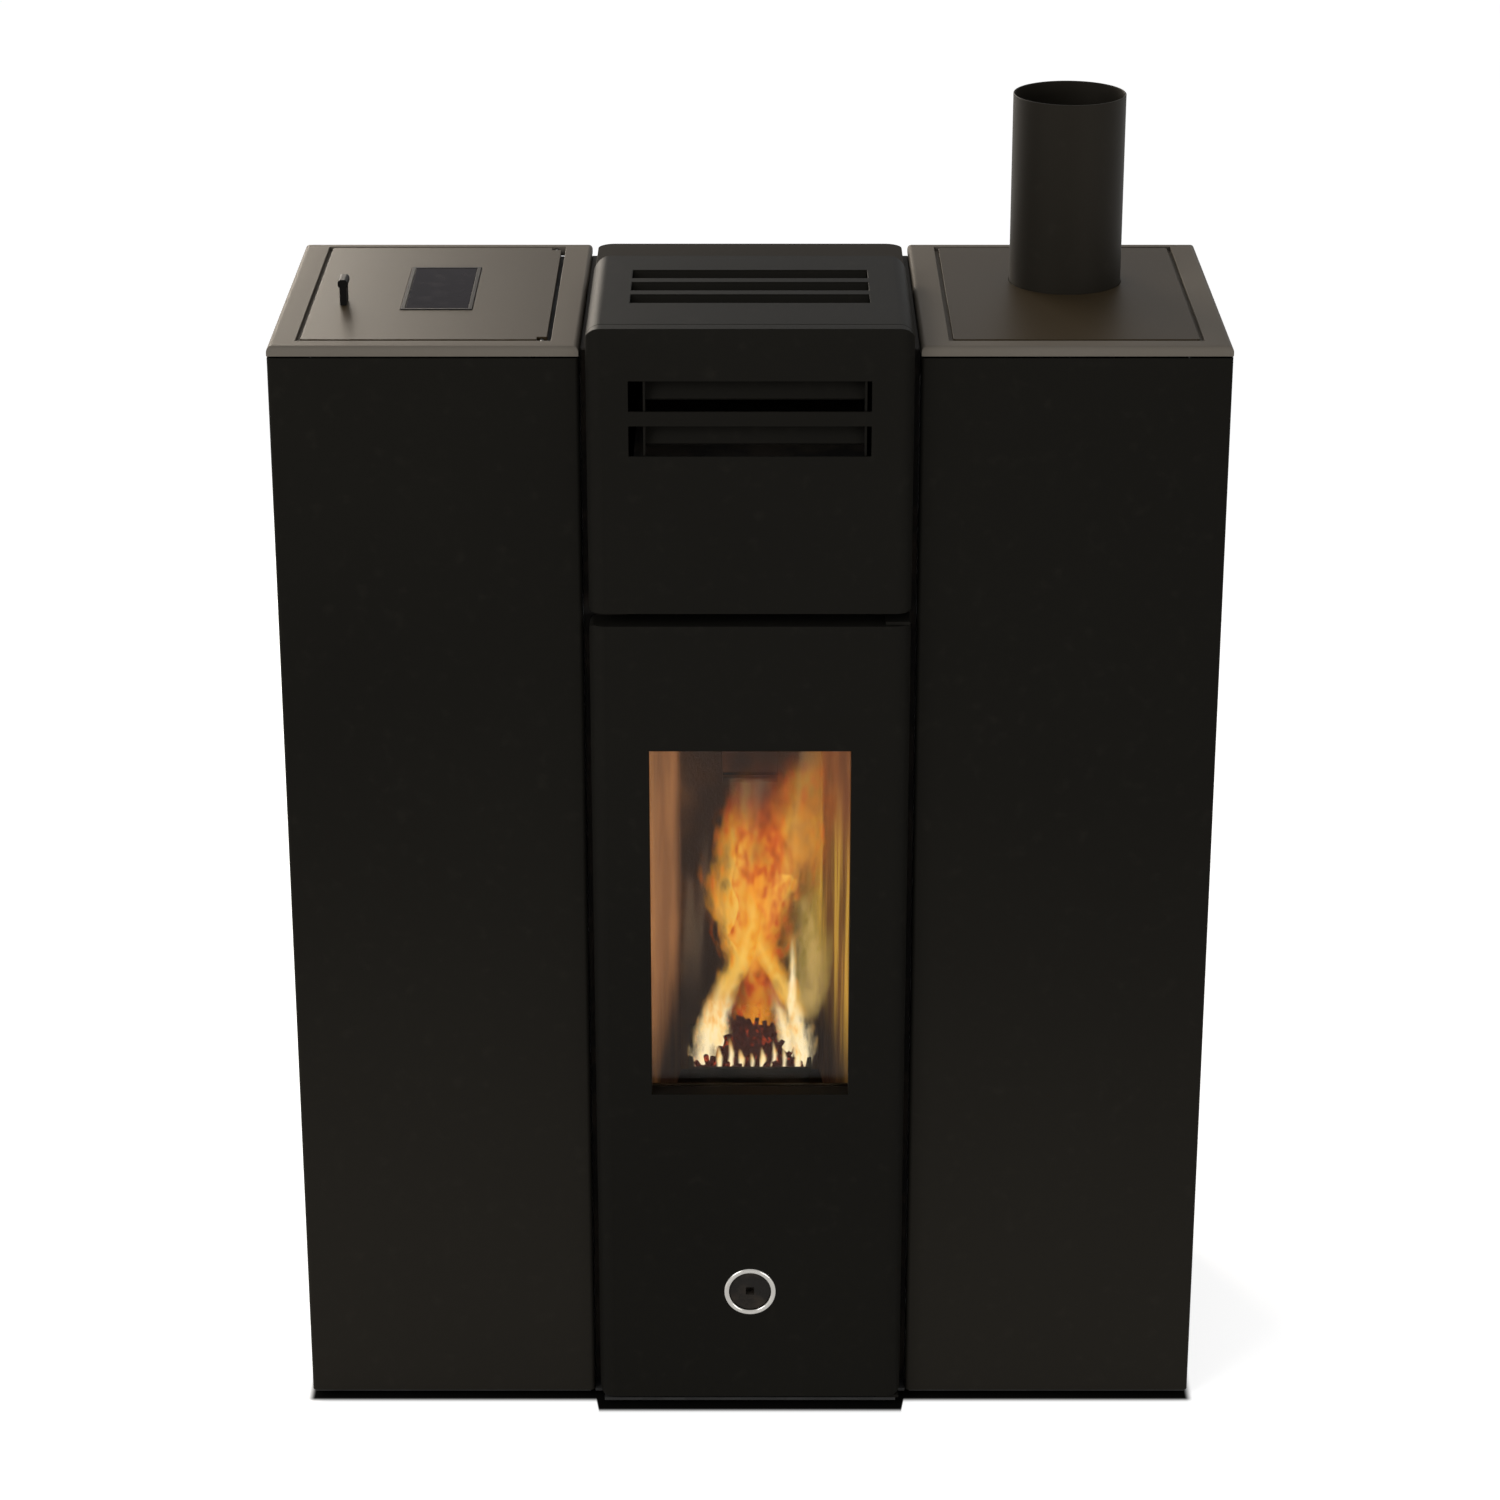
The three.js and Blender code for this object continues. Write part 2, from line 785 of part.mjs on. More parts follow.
/** The hopper lid: a flat plate with a knuckle along its right edge and a cut-out for the display. */
function hopperLid() {
  const corners = [coverCorner, 0, 0, coverCorner];
  const outline = roundedRectangle([lidLeft, -coverInner], [coverFront, coverBack], corners);
  const knuckle = [rimFront + ledge + rimGap, openingBack - ledge - rimGap];
  const relief = lidKnuckleRadius + fit;
  const pastLid = -coverInner + past;
  const through = [coverBottom - past, moduleTop + past];
  return piece('hopper_lid', cut(
    join(
      cut(
        prism(outline, 'z', [coverBottom, moduleTop]),
        block([lidAxisX - relief, pastLid], [coverFront - past, knuckle[0]], through),
        block([lidAxisX - relief, pastLid], [knuckle[1], coverBack + past], through),
      ),
      rod(lidKnuckleRadius, 'y', knuckle, [lidAxisX, lidAxisZ], 24),
    ),
    rod(lidPinRadius + fit, 'y', [knuckle[0] - past, knuckle[1] + past], [lidAxisX, lidAxisZ], 16),
    block(...displayArea(0), through),
  ), darkTop);
}

/** The steel rod that the lid turns on, seated in the rim at both ends. */
function lidHingeRod() {
  const length = [rimFront - lidPinSeat + fit, openingBack + lidPinSeat - fit];
  return piece('lid_hinge_rod', rod(lidPinRadius, 'y', length, [lidAxisX, lidAxisZ], 12), bareSteel);
}

/** The upright tab that lifts the lid: a narrow stem under a rounded head. */
function lidTab() {
  const bottom = moduleTop + fit;
  const top = bottom + tabHeight;
  const stem = [tabX - tabStem / 2, tabX + tabStem / 2];
  const head = [tabX - tabWidth / 2, tabX + tabWidth / 2];
  const along = [tabDepthPlace - tabLength / 2, tabDepthPlace + tabLength / 2];
  const radii = Array(4).fill(tabWidth / 3);
  return piece('lid_tab', join(
    block(stem, along, [bottom, top - tabHead + past]),
    prism(roundedRectangle(head, [top - tabHead, top], radii), 'y', along),
  ), blackPlastic);
}

/** The display's housing, a shallow tray that drops into the lid. */
function displayBezel() {
  const top = moduleTop + displayProud;
  const bottom = coverBottom - displayTray;
  return piece('display_bezel', cut(
    block(...displayArea(-fit), [bottom, top]),
    block(...displayArea(-displayBorder), [bottom + displayTray, top + past]),
  ), blackPlastic);
}

/** The display's blank glass, lying in the housing. */
function displayScreen() {
  const bottom = coverBottom + fit;
  const top = moduleTop + displayProud - fit;
  return piece('display_screen', block(...displayArea(-displayBorder - fit), [bottom, top]), screenGlass);
}

// ---------------------------------------------------------------- hopper and auger

/** The pellet hopper: straight below its flange, then drawn in to a square outlet at the back. */
function hopper() {
  const mouthX = [-(openingOuter - ledge) + hopperInset, lidAxisX - lidPinInset];
  const mouthY = [rimFront + ledge + hopperInset, openingBack - ledge - hopperInset];
  const outX = [augerX - outletWidth / 2, augerX + outletWidth / 2];
  const outY = [augerDepth - outletLength / 2, augerDepth + outletLength / 2];
  const flange = [casingTop - hopperFlange, casingTop];
  const inwards = ([a, b]) => [a + hopperWall, b - hopperWall];
  const mouth = [mouthX, mouthY];
  const outlet = [outX, outY];
  const innerMouth = mouth.map(inwards);
  const innerOutlet = outlet.map(inwards);
  const seat = [outletTop + fit, outletTop + fit + hopperWall];
  const grown = (edge, i) => edge + (i ? outletLip : -outletLip);
  return piece('hopper', cut(
    join(
      block(
        [-(moduleOuter - skin - fit), -(moduleInner + skin + fit)],
        [panelReturn + seam, rearPanelFront - fit],
        flange,
      ),
      block(...mouth, [hopperStraightBottom, casingTop]),
      taper(outlet, mouth, [seat[0], hopperStraightBottom + past]),
      block(outX.map(grown), outY.map(grown), seat),
    ),
    block(...innerMouth, [hopperStraightBottom, casingTop + past]),
    taper(innerOutlet, innerMouth, [seat[0] - past, hopperStraightBottom + past / 2]),
  ), zinc);
}

/** Carries a shape built along x, from zero at the hopper's outlet, onto the sloping auger axis. */
function onAugerAxis(shape) {
  return shape.rotateY(-augerSlope).translate(augerX, augerDepth, augerZ);
}

/** The auger's tube, with a square neck up to the hopper and a square spout over the chute. */
function augerTube() {
  const reach = [-augerLowEnd, augerHighEnd];
  const bore = augerRadius - augerWall;
  const neckX = [augerX - outletWidth / 2 - fit, augerX + outletWidth / 2 + fit];
  const neckY = [augerDepth - augerRadius, augerDepth + augerRadius];
  const inside = ([a, b]) => [a + augerNeckWall, b - augerNeckWall];
  const spoutX = [-augerRadius, augerRadius];
  const spoutAxisZ = augerZ + spoutAlong * Math.sin(augerSlope);
  return piece('auger_tube', cut(
    join(
      onAugerAxis(rod(augerRadius, 'x', reach, [0, 0], 24)),
      block(neckX, neckY, [augerZ, outletTop]),
      block(spoutX, neckY, [spoutBottom, spoutAxisZ]),
    ),
    onAugerAxis(rod(bore, 'x', [-augerLowEnd - past, augerHighEnd - augerBearing], [0, 0], 24)),
    onAugerAxis(rod(augerShaftRadius + fit, 'x', [0, augerHighEnd + past], [0, 0], 16)),
    block(inside(neckX), inside(neckY), [augerZ, outletTop + past]),
    block(inside(spoutX), inside(neckY), [spoutBottom - past, spoutAxisZ]),
  ), bareSteel);
}

/** The screw: a shaft with one helical flight, its lower end in the gearbox, its upper in the cap. */
function augerScrew() {
  const flightRadius = augerRadius - augerWall - augerFlightClear;
  const start = -augerLowEnd + augerBearing;
  const end = augerHighEnd - 2 * augerBearing;
  const turns = (end - start - augerFlightThickness) / augerPitch;
  const steps = Math.ceil(turns * augerStepsPerTurn);
  const inner = augerShaftRadius - past;
  const shaftEnds = [-augerLowEnd - couplingDepth + fit, augerHighEnd - fit];
  const positions = [];
  const index = [];
  for (let i = 0; i <= steps; i += 1) {
    const turn = (i / steps) * turns;
    const angle = turn * 2 * Math.PI;
    const x = start + turn * augerPitch;
    [[inner, 0], [flightRadius, 0], [flightRadius, 1], [inner, 1]].forEach(([r, side]) => {
      const along = x + side * augerFlightThickness;
      positions.push(along, r * Math.cos(angle), r * Math.sin(angle));
    });
    if (i === steps) break;
    for (let k = 0; k < 4; k += 1) {
      const [a, b] = [i * 4 + k, i * 4 + ((k + 1) % 4)];
      index.push(a, b, b + 4, a, b + 4, a + 4);
    }
  }
  const last = steps * 4;
  index.push(0, 2, 1, 0, 3, 2, last, last + 1, last + 2, last, last + 2, last + 3);
  const flight = new THREE.BufferGeometry();
  flight.setAttribute('position', new THREE.Float32BufferAttribute(positions, 3));
  flight.setIndex(index);
  const screw = join(flight, rod(augerShaftRadius, 'x', shaftEnds, [0, 0], 16));
  return piece('auger_screw', screw, bareSteel);
}

/** The geared motor on the tube's lower end, with the socket that the screw's shaft enters. */
function augerGearmotor() {
  const end = -augerLowEnd - fit;
  const box = [end - gearboxLength, end];
  const motorX = (box[0] + box[1]) / 2;
  const motorY = [-gearboxWidth / 2 - gearMotorLength, 1 - gearboxWidth / 2];
  const socket = [end - couplingDepth, end + past];
  return piece('auger_gearmotor', cut(
    join(
      block(box, half(gearboxWidth / 2), half(gearboxHeight / 2)),
      rod(Math.min(gearMotorRadius, gearboxLength / 2), 'y', motorY, [motorX, 0], 24),
    ),
    rod(augerShaftRadius + fit, 'x', socket, [0, 0], 16),
  ), motorGrey);
}

/** The screw and its motor, turned together onto the sloping axis. */
function augerDrive() {
  const drive = group([augerScrew(), augerGearmotor()], [augerX, augerDepth, augerZ]);
  drive.rotation.y = -augerSlope;
  return drive;
}

/** The slide that takes pellets from the spout through the chamber's back wall. */
function pelletChute() {
  const top = spoutBottom - fit;
  const front = chamberRear + fit;
  const back = augerDepth + augerRadius;
  const mouthTop = chuteMouthBottom + chuteMouthHeight;
  const width = augerRadius;
  const throat = augerDepth - augerRadius;
  const wall = chuteWall;
  const outer = [
    [front, chuteMouthBottom],
    [back, top - chuteShelf],
    [back, top],
    [throat, top],
    [front, mouthTop],
  ];
  const inner = [
    [front - past, chuteMouthBottom + wall],
    [front + wall, chuteMouthBottom + wall],
    [back - wall, top - chuteShelf + wall],
    [back - wall, top + past],
    [throat + wall, top + past],
    [throat + wall, top - wall],
    [front + wall, mouthTop - wall],
    [front - past, mouthTop - wall],
  ];
  return piece('pellet_chute', cut(
    prism(outer, 'x', half(width)),
    prism(inner, 'x', half(width - wall)),
  ), bareSteel);
}

// ---------------------------------------------------------------- fire chamber

/** The hole through the chamber's back and its liner that the chute feeds. */
function chuteHole() {
  const width = half(augerRadius - chuteWall);
  const height = [chuteMouthBottom + chuteWall, chuteMouthBottom + chuteMouthHeight - chuteWall];
  return block(width, [chamberDepth - 2 * linerThickness, chamberRear + past], height);
}

/** The hole through the chamber's back and its liner for the igniter. */
function igniterHole() {
  const through = [chamberDepth - 2 * linerThickness, chamberRear + past];
  return rod(igniterRadius + fit, 'y', through, [0, igniterHeight], 16);
}

/** The welded steel body: front frame, fire chamber, ash space below and skirts to the base. */
function fireBody() {
  const bottom = baseTop + fit;
  const frame = [frameFront, frameBack];
  const through = [frameFront - past, frameBack + past];
  const latchHalf = camLength / 2 + latchWindowMargin;
  const wallDepth = [frameFront + past, chamberRear];
  const lowWall = ashFloor - chamberWall;
  const holeX = potLowHalfX + potHoleClear;
  const holeY = potLowHalfY + potHoleClear;
  return piece('fire_body', cut(
    join(
      block(half(moduleInner - fit), frame, [bottom, hoodBottom - fit]),
      block([-chamberOuter, -chamberHalf], wallDepth, [bottom, chamberTop]),
      block([chamberHalf, chamberOuter], wallDepth, [bottom, chamberTop]),
      block(half(chamberOuter), [chamberDepth, chamberRear], [lowWall, chamberTop]),
      block(half(chamberOuter), wallDepth, [lowWall, ashFloor]),
      block(half(chamberOuter), wallDepth, [chamberFloor - chamberWall, chamberFloor]),
      block(half(chamberOuter), wallDepth, [ceiling, chamberTop]),
    ),
    block(half(windowHalf + mouthSide), through, [windowBottom - mouthBelow, windowTop + mouthAbove]),
    block(half(ashMouthHalf), through, [ashFloor, ashMouthTop]),
    block(half(latchWindowHalf), through, [latchHeight - latchHalf, latchHeight + latchHalf]),
    block(half(airMouthHalf), through, [chamberTop + airMouthBottom, hoodBottom - airMouthTop]),
    block(
      half(holeX),
      [potDepthPlace - holeY, potDepthPlace + holeY],
      [chamberFloor - chamberWall - past, chamberFloor + past],
    ),
    block(
      half(smokePortHalf),
      [smokePortFront, smokePortFront + smokePortDepth],
      [ceiling - past, chamberTop + past],
    ),
    chuteHole(),
    igniterHole(),
    rod(
      airPipeRadius - airPipeWall,
      'y',
      [chamberDepth - past, chamberRear + past],
      [airPipeX, airPipeHeight],
      24,
    ),
  ), castIron);
}

/** The refractory boards at the back and both sides of the fire, the sides thicker to the back. */
function liners() {
  const height = [chamberFloor + fit, ceiling - fit];
  const outer = chamberHalf - fit;
  const backFront = chamberDepth - fit - linerThickness;
  const sideDepth = [frameBack + fit, backFront - fit];
  const groove = prism(baffleOutline(fit), 'x', half(baffleHalf + fit));
  const wedge = (side) => prism([
    [side * outer, sideDepth[0]],
    [side * outer, sideDepth[1]],
    [side * (outer - linerThickness - linerFlare), sideDepth[1]],
    [side * (outer - linerThickness), sideDepth[0]],
  ], 'z', height);
  return [
    piece('liner_back', cut(
      block(half(outer), [backFront, chamberDepth - fit], height),
      chuteHole(),
      igniterHole(),
    ), vermiculite),
    piece('liner_left', cut(wedge(-1), groove), vermiculite),
    piece('liner_right', cut(wedge(1), groove), vermiculite),
  ];
}

const baffleHalf = chamberHalf - linerThickness + baffleSeat - 2 * fit;

/** The sloping plate in side view, grown up and down by a margin. */
function baffleOutline(margin) {
  const back = chamberDepth - 2 * fit - linerThickness;
  const low = ceiling - baffleBackDrop;
  const high = low + baffleRise;
  return [
    [baffleFront - margin, high - baffleThickness - 2 * margin],
    [back + margin, low - baffleThickness - 2 * margin],
    [back + margin, low + 2 * margin],
    [baffleFront - margin, high + 2 * margin],
  ];
}

/** The sloping plate that turns the smoke forward, seated in grooves of the side liners. */
function bafflePlate() {
  return piece('baffle_plate', prism(baffleOutline(0), 'x', half(baffleHalf)), castIron);
}

/** The burn pot: a flared cast box that hangs in the chamber floor by its flange. */
function burnPot() {
  const at = (halfX, halfY) => [half(halfX), [potDepthPlace - halfY, potDepthPlace + halfY]];
  const seat = chamberFloor + fit;
  const flangeTop = seat + potWall;
  const low = at(potLowHalfX, potLowHalfY);
  const high = at(potHighHalfX, potHighHalfY);
  const lowInside = at(potLowHalfX - potWall, potLowHalfY - potWall);
  const highInside = at(potHighHalfX - potWall, potHighHalfY - potWall);
  const holes = [-1, 0, 1].flatMap((i) => [-1, 0, 1].map((j) => rod(
    potAirHole,
    'z',
    [potBottom - past, potBottom + potWall + past],
    [i * potAirPitch, potDepthPlace + j * potAirPitch],
    8,
  )));
  return piece('burn_pot', cut(
    join(
      block(...low, [potBottom, flangeTop]),
      block(...at(potLowHalfX + potFlange, potLowHalfY + potFlange), [seat, flangeTop]),
      taper(low, high, [flangeTop - past, potTop]),
    ),
    block(...lowInside, [potBottom + potWall, flangeTop]),
    taper(lowInside, highInside, [flangeTop - past / 2, potTop + past / 2]),
    ...holes,
  ), castIron);
}

/** The ash drawer: an open tray with a taller front and a grip. */
function ashDrawer() {
  const bottom = ashFloor + fit;
  const front = [frameBack + fit, frameBack + fit + drawerWall];
  const tray = [front[0], chamberDepth - 2 * fit];
  const height = [bottom, bottom + drawerHeight];
  const gripZ = bottom + drawerHeight / 2;
  return piece('ash_drawer', cut(
    join(
      block(half(drawerHalf), tray, height),
      block(half(drawerHalf), front, [bottom, bottom + drawerFrontTop]),
      block(half(drawerGripHalf), [front[0] - drawerGripDepth, front[1]], [gripZ, gripZ + drawerWall]),
    ),
    block(
      half(drawerHalf - drawerWall),
      [tray[0] + drawerWall, tray[1] - drawerWall],
      [bottom + drawerWall, bottom + drawerFrontTop + past],
    ),
  ), zinc);
}

/** The igniter: a heating cartridge that enters behind the pot, with its mounting flange. */
function igniter() {
  const flange = [chamberRear + fit, chamberRear + fit + chamberWall];
  return piece('igniter', join(
    rod(igniterRadius, 'y', [igniterTip, flange[1] + igniterBehind], [0, igniterHeight], 16),
    rod(igniterFlange, 'y', flange, [0, igniterHeight], 16),
  ), bareSteel);
}

// ---------------------------------------------------------------- heat exchanger and smoke path

/** The box over the chamber: smoke fills it, and room air crosses it in tubes from back to front. */
function heatExchanger() {
  const depth = [exchangerFront, chamberDepth];
  const height = [exchangerBottom, exchangerTop];
  const inside = block(
    half(chamberHalf - exchangerWall),
    [depth[0] + exchangerWall, depth[1] - exchangerWall],
    [height[0] - past, height[1] - exchangerWall],
  );
  const places = [];
  for (let row = 0; row < tubeRows; row += 1) {
    for (let column = 0; column < tubeColumns; column += 1) {
      const x = (column - (tubeColumns - 1) / 2) * tubePitchX;
      places.push([x, exchangerBottom + tubeFirstRow + row * tubePitchZ]);
    }
  }
  const tubes = places.map((place) => rod(tubeOuterRadius, 'y', depth, place, 10));
  const bores = places.map((place) =>
    rod(tubeOuterRadius - tubeWall, 'y', [depth[0] - past, depth[1] + past], place, 10));
  const portWall = [chamberHalf - exchangerWall - past, chamberHalf + past];
  const port = rod(smokeRadius - smokeWall, 'x', portWall, [smokeDepthPlace, smokeZ]);
  const shell = cut(block(half(chamberHalf), depth, height), inside);
  return piece('heat_exchanger', cut(join(shell, ...tubes), ...bores, port), bareSteel);
}

/** The smoke duct: out of the exchanger, through the inner panel and down to the smoke fan. */
function smokeDuct() {
  const from = chamberHalf + fit;
  const down = smokeFanTop + fit;
  const elbow = (radius, side, low) => join(
    rod(radius, 'x', [side, smokeFanX], [smokeDepthPlace, smokeZ], 24),
    rod(radius, 'z', [low, smokeZ], [smokeFanX, smokeDepthPlace], 24),
    new THREE.SphereGeometry(radius, 24, 12).rotateX(Math.PI / 2)
      .translate(smokeFanX, smokeDepthPlace, smokeZ),
  );
  const outer = elbow(smokeRadius, from, down);
  const inner = elbow(smokeRadius - smokeWall, from - past, down - past);
  return piece('smoke_duct', cut(outer, inner), bareSteel);
}

/** The smoke fan's scroll housing, bolted to the inner panel, with its outlet into the flue duct. */
function smokeFanHousing() {
  const height = [smokeFanBottom, smokeFanTop];
  const inner = [smokeFanBottom + smokeFanWall, smokeFanTop - smokeFanWall];
  const centre = [smokeFanX, smokeDepthPlace];
  const outletX = [flueX - flueRadius, flueX + flueRadius];
  const outletY = [smokeDepthPlace, flueDepthPlace + flueRadius];
  const footing = [moduleInner + skin + fit, smokeFanX];
  const topWall = [inner[1] - past, height[1] + past];
  const outer = join(
    rod(smokeFanRadius, 'z', height, centre, 36),
    block(outletX, outletY, height),
    block(footing, half(smokeFanRadius / 2).map((y) => y + smokeDepthPlace), height),
  );
  return piece('smoke_fan_housing', cut(
    outer,
    rod(smokeFanRadius - smokeFanWall, 'z', inner, centre, 36),
    block(
      [outletX[0] + smokeFanWall, outletX[1] - smokeFanWall],
      [outletY[0] + smokeFanWall, outletY[1] - smokeFanWall],
      inner,
    ),
    rod(flueDuctRadius - flueDuctWall, 'z', topWall, [flueX, flueDepthPlace]),
    rod(smokeRadius - smokeWall, 'z', topWall, centre, 24),
    rod(smokeShaftHole, 'z', [height[0] - past, inner[0] + past], centre, 16),
  ), castIron);
}

/** The smoke fan's wheel: a plate with straight blades, a hub and the shaft down to the motor. */
function smokeFanImpeller() {
  const bottom = smokeFanBottom + smokeFanWall + impellerClear;
  const top = smokeFanTop - smokeFanWall - impellerClear;
  const centre = [0, 0];
  const bladeRoot = impellerRadius - impellerBladeLength;
  const blades = Array.from({ length: impellerBlades }, (_, i) =>
    block([bladeRoot, impellerRadius], [-1, 1], [bottom, top])
      .rotateZ((i / impellerBlades) * 2 * Math.PI));
  const shaftBottom = smokeFanBottom - smokeShaftDepth;
  return piece('smoke_fan_impeller', join(
    rod(impellerRadius, 'z', [bottom, bottom + impellerPlate], centre, 36),
    rod(impellerHub, 'z', [bottom, bottom + 4 * impellerPlate], centre, 16),
    rod(smokeShaftRadius, 'z', [shaftBottom, bottom + past], centre, 16),
    ...blades,
  ), bareSteel);
}

/** The smoke fan's motor, hung under the housing round the shaft. */
function smokeFanMotor() {
  const top = smokeFanBottom - fit;
  const centre = [0, 0];
  return piece('smoke_fan_motor', cut(
    rod(smokeMotorRadius, 'z', [top - smokeMotorHeight, top], centre, 24),
    rod(smokeShaftRadius + fit, 'z', [smokeFanBottom - smokeShaftDepth - fit, top + past], centre, 16),
  ), motorGrey);
}

/** The inner flue duct, from the top of the fan's outlet up into the flue pipe. */
function flueDuct() {
  const height = [smokeFanTop + fit, rimBottom];
  const shape = pipe(flueDuctRadius, flueDuctWall, 'z', height, [flueX, flueDepthPlace]);
  return piece('flue_duct', shape, bareSteel);
}

/** The visible flue pipe, sleeved over the duct and standing out of the cover plate. */
function fluePipe() {
  const height = [rimBottom - flueOverlap, flueTop];
  const shape = pipe(flueRadius, flueWall, 'z', height, [flueX, flueDepthPlace], 48);
  return piece('flue_pipe', shape, blackPipe);
}

// ---------------------------------------------------------------- room-air fan

/** The cross-flow fan's housing: open at the front low down, blowing up behind the chamber. */
function roomFanHousing() {
  const back = rearPanelFront - fit;
  const bottom = baseTop + fit;
  const inside = half(roomFanHalf - roomFanWall);
  const axis = [roomFanAxisY, roomFanAxisZ];
  const outletY = [roomFanAxisY - roomFanBore / 2, back - roomFanWall];
  const inletZ = [roomFanAxisZ - roomInletHeight / 2, roomFanAxisZ + roomInletHeight / 2];
  return piece('room_fan_housing', cut(
    block(half(roomFanHalf), [roomFanFront, back], [bottom, roomFanTop]),
    rod(roomFanBore, 'x', inside, axis, 32),
    block(inside, outletY, [roomFanAxisZ, roomFanTop + past]),
    block(inside, [roomFanFront - past, roomFanAxisY], inletZ),
    rod(roomShaftRadius + fit, 'x', half(roomFanHalf + past), axis, 12),
  ), zinc);
}

/** The cross-flow rotor: two end discs on stub shafts, joined by a ring of blades. */
function roomFanRotor() {
  const end = roomFanHalf - roomFanWall - roomRotorClear;
  const disc = (from) => rod(roomRotorRadius, 'x', [from, from + roomFanWall], [0, 0], 32);
  const roomBladeReach = [roomRotorRadius - past - roomBladeWidth, roomRotorRadius - past];
  const blades = Array.from({ length: roomRotorBlades }, (_, i) =>
    block(half(end), roomBladeReach, half(roomBladeThickness / 2))
      .rotateX((i / roomRotorBlades) * 2 * Math.PI));
  const shaft = [-roomFanHalf, roomFanHalf + roomMotorLength / 2];
  return piece('room_fan_rotor', join(
    disc(-end),
    disc(end - roomFanWall),
    rod(roomRotorHub, 'x', half(end), [0, 0], 12),
    rod(roomShaftRadius, 'x', shaft, [0, 0], 12),
    ...blades,
  ), zinc);
}

/** The rotor's motor, on the right end of the housing. */
function roomFanMotor() {
  const from = roomFanHalf + fit;
  return piece('room_fan_motor', cut(
    rod(roomMotorRadius, 'x', [from, from + roomMotorLength], [0, 0], 24),
    rod(roomShaftRadius + fit, 'x', [from - past, from + roomMotorLength / 2 + fit], [0, 0], 12),
  ), motorGrey);
}

// ---------------------------------------------------------------- door

/** The outer door shell: a deep pan with rounded upright edges and a framed window. */
function doorShell() {
  const front = columnFront;
  const back = columnFront + doorThickness;
  const height = [doorBottom, doorTop];
  const pocket = columnHalf - doorWall;
  const bend = doorRadius - doorWall;
  const corner = Array(4).fill(doorCorner);
  const plan = roundedRectangle(half(columnHalf), [front, back], [doorRadius, doorRadius, 0, 0]);
  const elevation = roundedRectangle(half(columnHalf), height, corner);
  const hollow = roundedRectangle(half(pocket), [front + doorWall, back + past], [bend, bend, 0, 0]);
  const frame = windowHalf + windowSurround;
  const surround = [front + past, front + glassRecess];
  const blockX = [hingeX - hingeBlock / 2, pocket + past];
  const blockY = [front + past, hingeY + hingeBlock / 2];
  const reach = hingePinLength + hingeBlock / 2;
  const pinHole = (from, to) => rod(hingePinRadius + fit, 'z', [from, to], [hingeX, hingeY], 16);
  const outer = common(prism(plan, 'z', height), prism(elevation, 'y', [front, back]));
  const shell = cut(outer, prism(hollow, 'z', [doorBottom + doorWall, doorTop - doorWall]));
  const blocks = join(
    block(half(frame), surround, [windowBottom - windowSurround, windowTop + windowSurround]),
    common(join(
      block(blockX, blockY, [doorBottom, doorBottom + reach]),
      block(blockX, blockY, [doorTop - reach, doorTop]),
    ), outer),
  );
  const latchHole = ringRadius - ringBand + ringSleeve + fit;
  return piece('door_shell', cut(
    join(shell, blocks),
    block(half(windowHalf), [front - past, back + past], [windowBottom, windowTop]),
    rod(latchHole, 'y', [front - past, front + doorWall + past], [0, latchHeight]),
    pinHole(doorBottom - past, doorBottom + hingePinLength + fit),
    pinHole(doorTop - hingePinLength - fit, doorTop + past),
  ), blackPowder);
}

/** The heat-proof glass behind the window. */
function doorGlass() {
  const height = [windowBottom - glassOverlap, windowTop + glassOverlap];
  const depth = [glassFront, glassFront + glassThickness];
  return piece('door_glass', block(half(windowHalf + glassOverlap), depth, height), ceramicGlass);
}

/** The steel plate inside the door that clamps the glass and carries the seal. */
function doorInnerPlate() {
  const plateHalf = windowHalf + innerPlateMargin;
  const height = [windowBottom - innerPlateMargin, windowTop + innerPlateMargin];
  return piece('door_inner_plate', cut(
    block(half(plateHalf), [innerPlateFront, innerPlateBack], height),
    block(half(windowHalf), [innerPlateFront - past, innerPlateBack + past], [windowBottom, windowTop]),
  ), castIron);
}

/** The rope seal round the inner plate, closing against the front frame. */
function doorSeal() {
  const depth = [innerPlateBack + fit, frameFront - fit];
  const outer = innerPlateMargin - sealInset;
  const inner = outer - sealWidth;
  const loop = (margin) => [
    half(windowHalf + margin),
    [windowBottom - margin, windowTop + margin],
  ];
  const ring = (margin, r) => roundedRectangle(...loop(margin), Array(4).fill(r));
  return piece('door_seal', cut(
    prism(ring(outer, sealWidth), 'y', depth),
    prism(ring(inner, sealWidth / 2), 'y', [depth[0] - past, depth[1] + past]),
  ), ropeSeal);
}

/** The plain bright ring on the door round the latch. */
function latchRing() {
  const inner = ringRadius - ringBand;
  const front = columnFront - rosetteProud;
  const profile = [
    [inner, -columnFront - doorWall],
    [inner, -front],
    [ringRadius, -front],
    [ringRadius, -columnFront + fit],
    [inner + ringSleeve, -columnFront + fit],
    [inner + ringSleeve, -columnFront - doorWall],
    [inner, -columnFront - doorWall],
  ];
  const ring = turned(profile, [0, 0], 48).rotateX(Math.PI / 2).translate(0, 0, latchHeight);
  return piece('latch_ring', ring, chrome);
}

